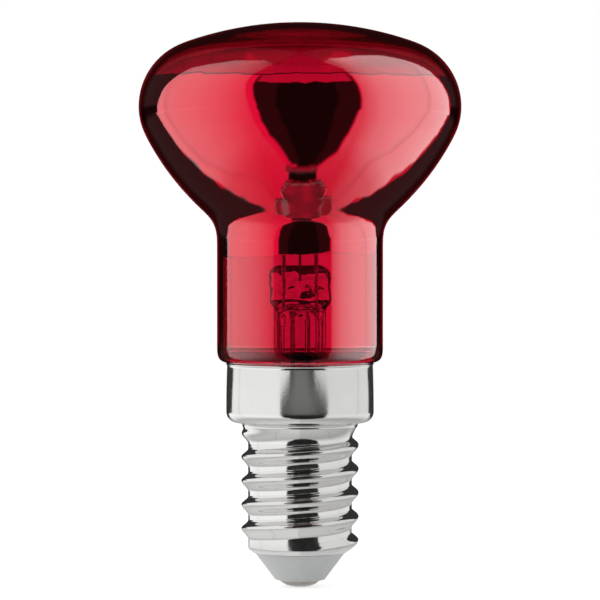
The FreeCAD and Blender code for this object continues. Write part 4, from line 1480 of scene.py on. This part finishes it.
def make_cards(stage):
    """A dome and a floor of cards for polished faces and for glass, and two lamps for matt faces."""
    centre = (CAD_BOX[0].z + CAD_BOX[1].z) / 2
    floor = CAD_BOX[0].z + CARD_LIFT
    all_round = spaced(-180, 180, 360)
    heights = spaced(DOME_LOW, DOME_HIGH, DOME_HIGH - DOME_LOW)
    growth = FLOOR_OVERHANG * stage.reach / MM / FLOOR_NEAREST
    reaches = [FLOOR_NEAREST * growth ** part for part in spaced(0, 1, FLOOR_ROWS)]

    def sky(turn_from_camera, elevation):
        return sky_point(math.radians(turn_from_camera), math.radians(elevation), stage.reach, centre)

    def ground(turn_from_camera, reach):
        return sky_point(math.radians(turn_from_camera), 0, reach * MM, floor)

    objects = bpy.data.objects
    nodes = frame["nodes"]
    metal_parts = [objects["cap_sheet"], objects["solder_drop"]]
    metal_parts += [nodes["cap_insulator"], nodes["side_solder"], nodes["contact_plate"]]
    kinds = (
        (SHEEN, "sheen", "glossy", receivers("sheen_on", [objects["glass_bulb"]])),
        (METAL, "metal", "glossy", receivers("metal_on", metal_parts)),
        (GLOW, "glow", "transmission", None),
    )
    for kind, name, seen_by, shines_on in kinds:
        light = card_light(f"{name}_light", see_through=bool(shines_on))
        dome_tone = partial(sky_tone, stage, kind)
        flat_tone = partial(floor_tone, stage, kind)
        dome = add_card(f"{name}_dome", sky, all_round, heights, dome_tone, light, seen_by)
        flat = add_card(f"{name}_floor", ground, all_round, reaches, flat_tone, light, seen_by)
        dome.scale = [1 + kind * DOME_STEP] * 3
        flat.location.z = kind * CARD_STEP
        if shines_on:
            dome.light_linking.receiver_collection = shines_on
            flat.light_linking.receiver_collection = shines_on

    black = emitter("black_card", 0)
    columns = all_round[::BACKING_COARSE]
    dome = add_card("black_dome", sky, columns, heights, even_tone, black, "glossy")
    dome.scale = [BACKING_SCALE] * 3
    flat = add_card("black_floor", ground, columns, reaches[::BACKING_COARSE], even_tone, black, "glossy")
    flat.location.z = -BACKING_DROP

    rows = spaced(DOME_LOW, LAMP_HIGH, LAMP_ROWS)
    for way, name, panel in ((-1, "lamp_left", LEFT_PANEL), (1, "lamp_right", RIGHT_PANEL)):
        start = panel["sky_near"][0][1]
        end = panel["sky_top"][-2][0]
        columns = spaced(way * start, way * end, LAMP_COLUMNS)
        light = emitter(name, stage.lamps[panel["side"]])
        add_card(name, sky, columns, rows, even_tone, light, "diffuse")


class HEATLAMP_OT_stage(bpy.types.Operator):
    """Camera, room, floor, soft panels and dark cards"""

    bl_idname = "heat_lamp.stage"
    bl_label = "Studio Stage"

    def execute(self, context):
        stage = settings(context).stage
        context.scene.view_settings.view_transform = "Standard"
        make_camera(stage)
        make_room(stage)
        make_floor(stage)
        make_cards(stage)
        return {"FINISHED"}


OPERATORS = (
    HEATLAMP_OT_envelope,
    HEATLAMP_OT_film,
    HEATLAMP_OT_stem,
    HEATLAMP_OT_wires,
    HEATLAMP_OT_filament,
    HEATLAMP_OT_cap,
    HEATLAMP_OT_contact,
    HEATLAMP_OT_cement,
    HEATLAMP_OT_stage,
)


class HEATLAMP_PT_sidebar(bpy.types.Panel):
    """Lists the steps that dress the lamp"""

    bl_label = "Heat Lamp"
    bl_space_type = "VIEW_3D"
    bl_region_type = "UI"
    bl_category = "Heat Lamp"

    def draw(self, context):
        for operator in OPERATORS:
            self.layout.operator(operator.bl_idname)


CLASSES = (
    GlassSizes,
    FilmSizes,
    StemSizes,
    CapSizes,
    EndSizes,
    InnerColours,
    StageSizes,
    LampSettings,
    *OPERATORS,
    HEATLAMP_PT_sidebar,
)


def register():
    for each in CLASSES:
        bpy.utils.register_class(each)
    bpy.types.Scene.heat_lamp = PointerProperty(type=LampSettings)


def unregister():
    del bpy.types.Scene.heat_lamp
    for each in reversed(CLASSES):
        bpy.utils.unregister_class(each)


def main():
    register()
    bpy.ops.heat_lamp.envelope()
    bpy.ops.heat_lamp.film()
    bpy.ops.heat_lamp.stem()
    bpy.ops.heat_lamp.wires()
    bpy.ops.heat_lamp.filament()
    bpy.ops.heat_lamp.cap()
    bpy.ops.heat_lamp.contact()
    bpy.ops.heat_lamp.cement()
    bpy.ops.heat_lamp.stage()


if __name__ == "__main__":
    main()
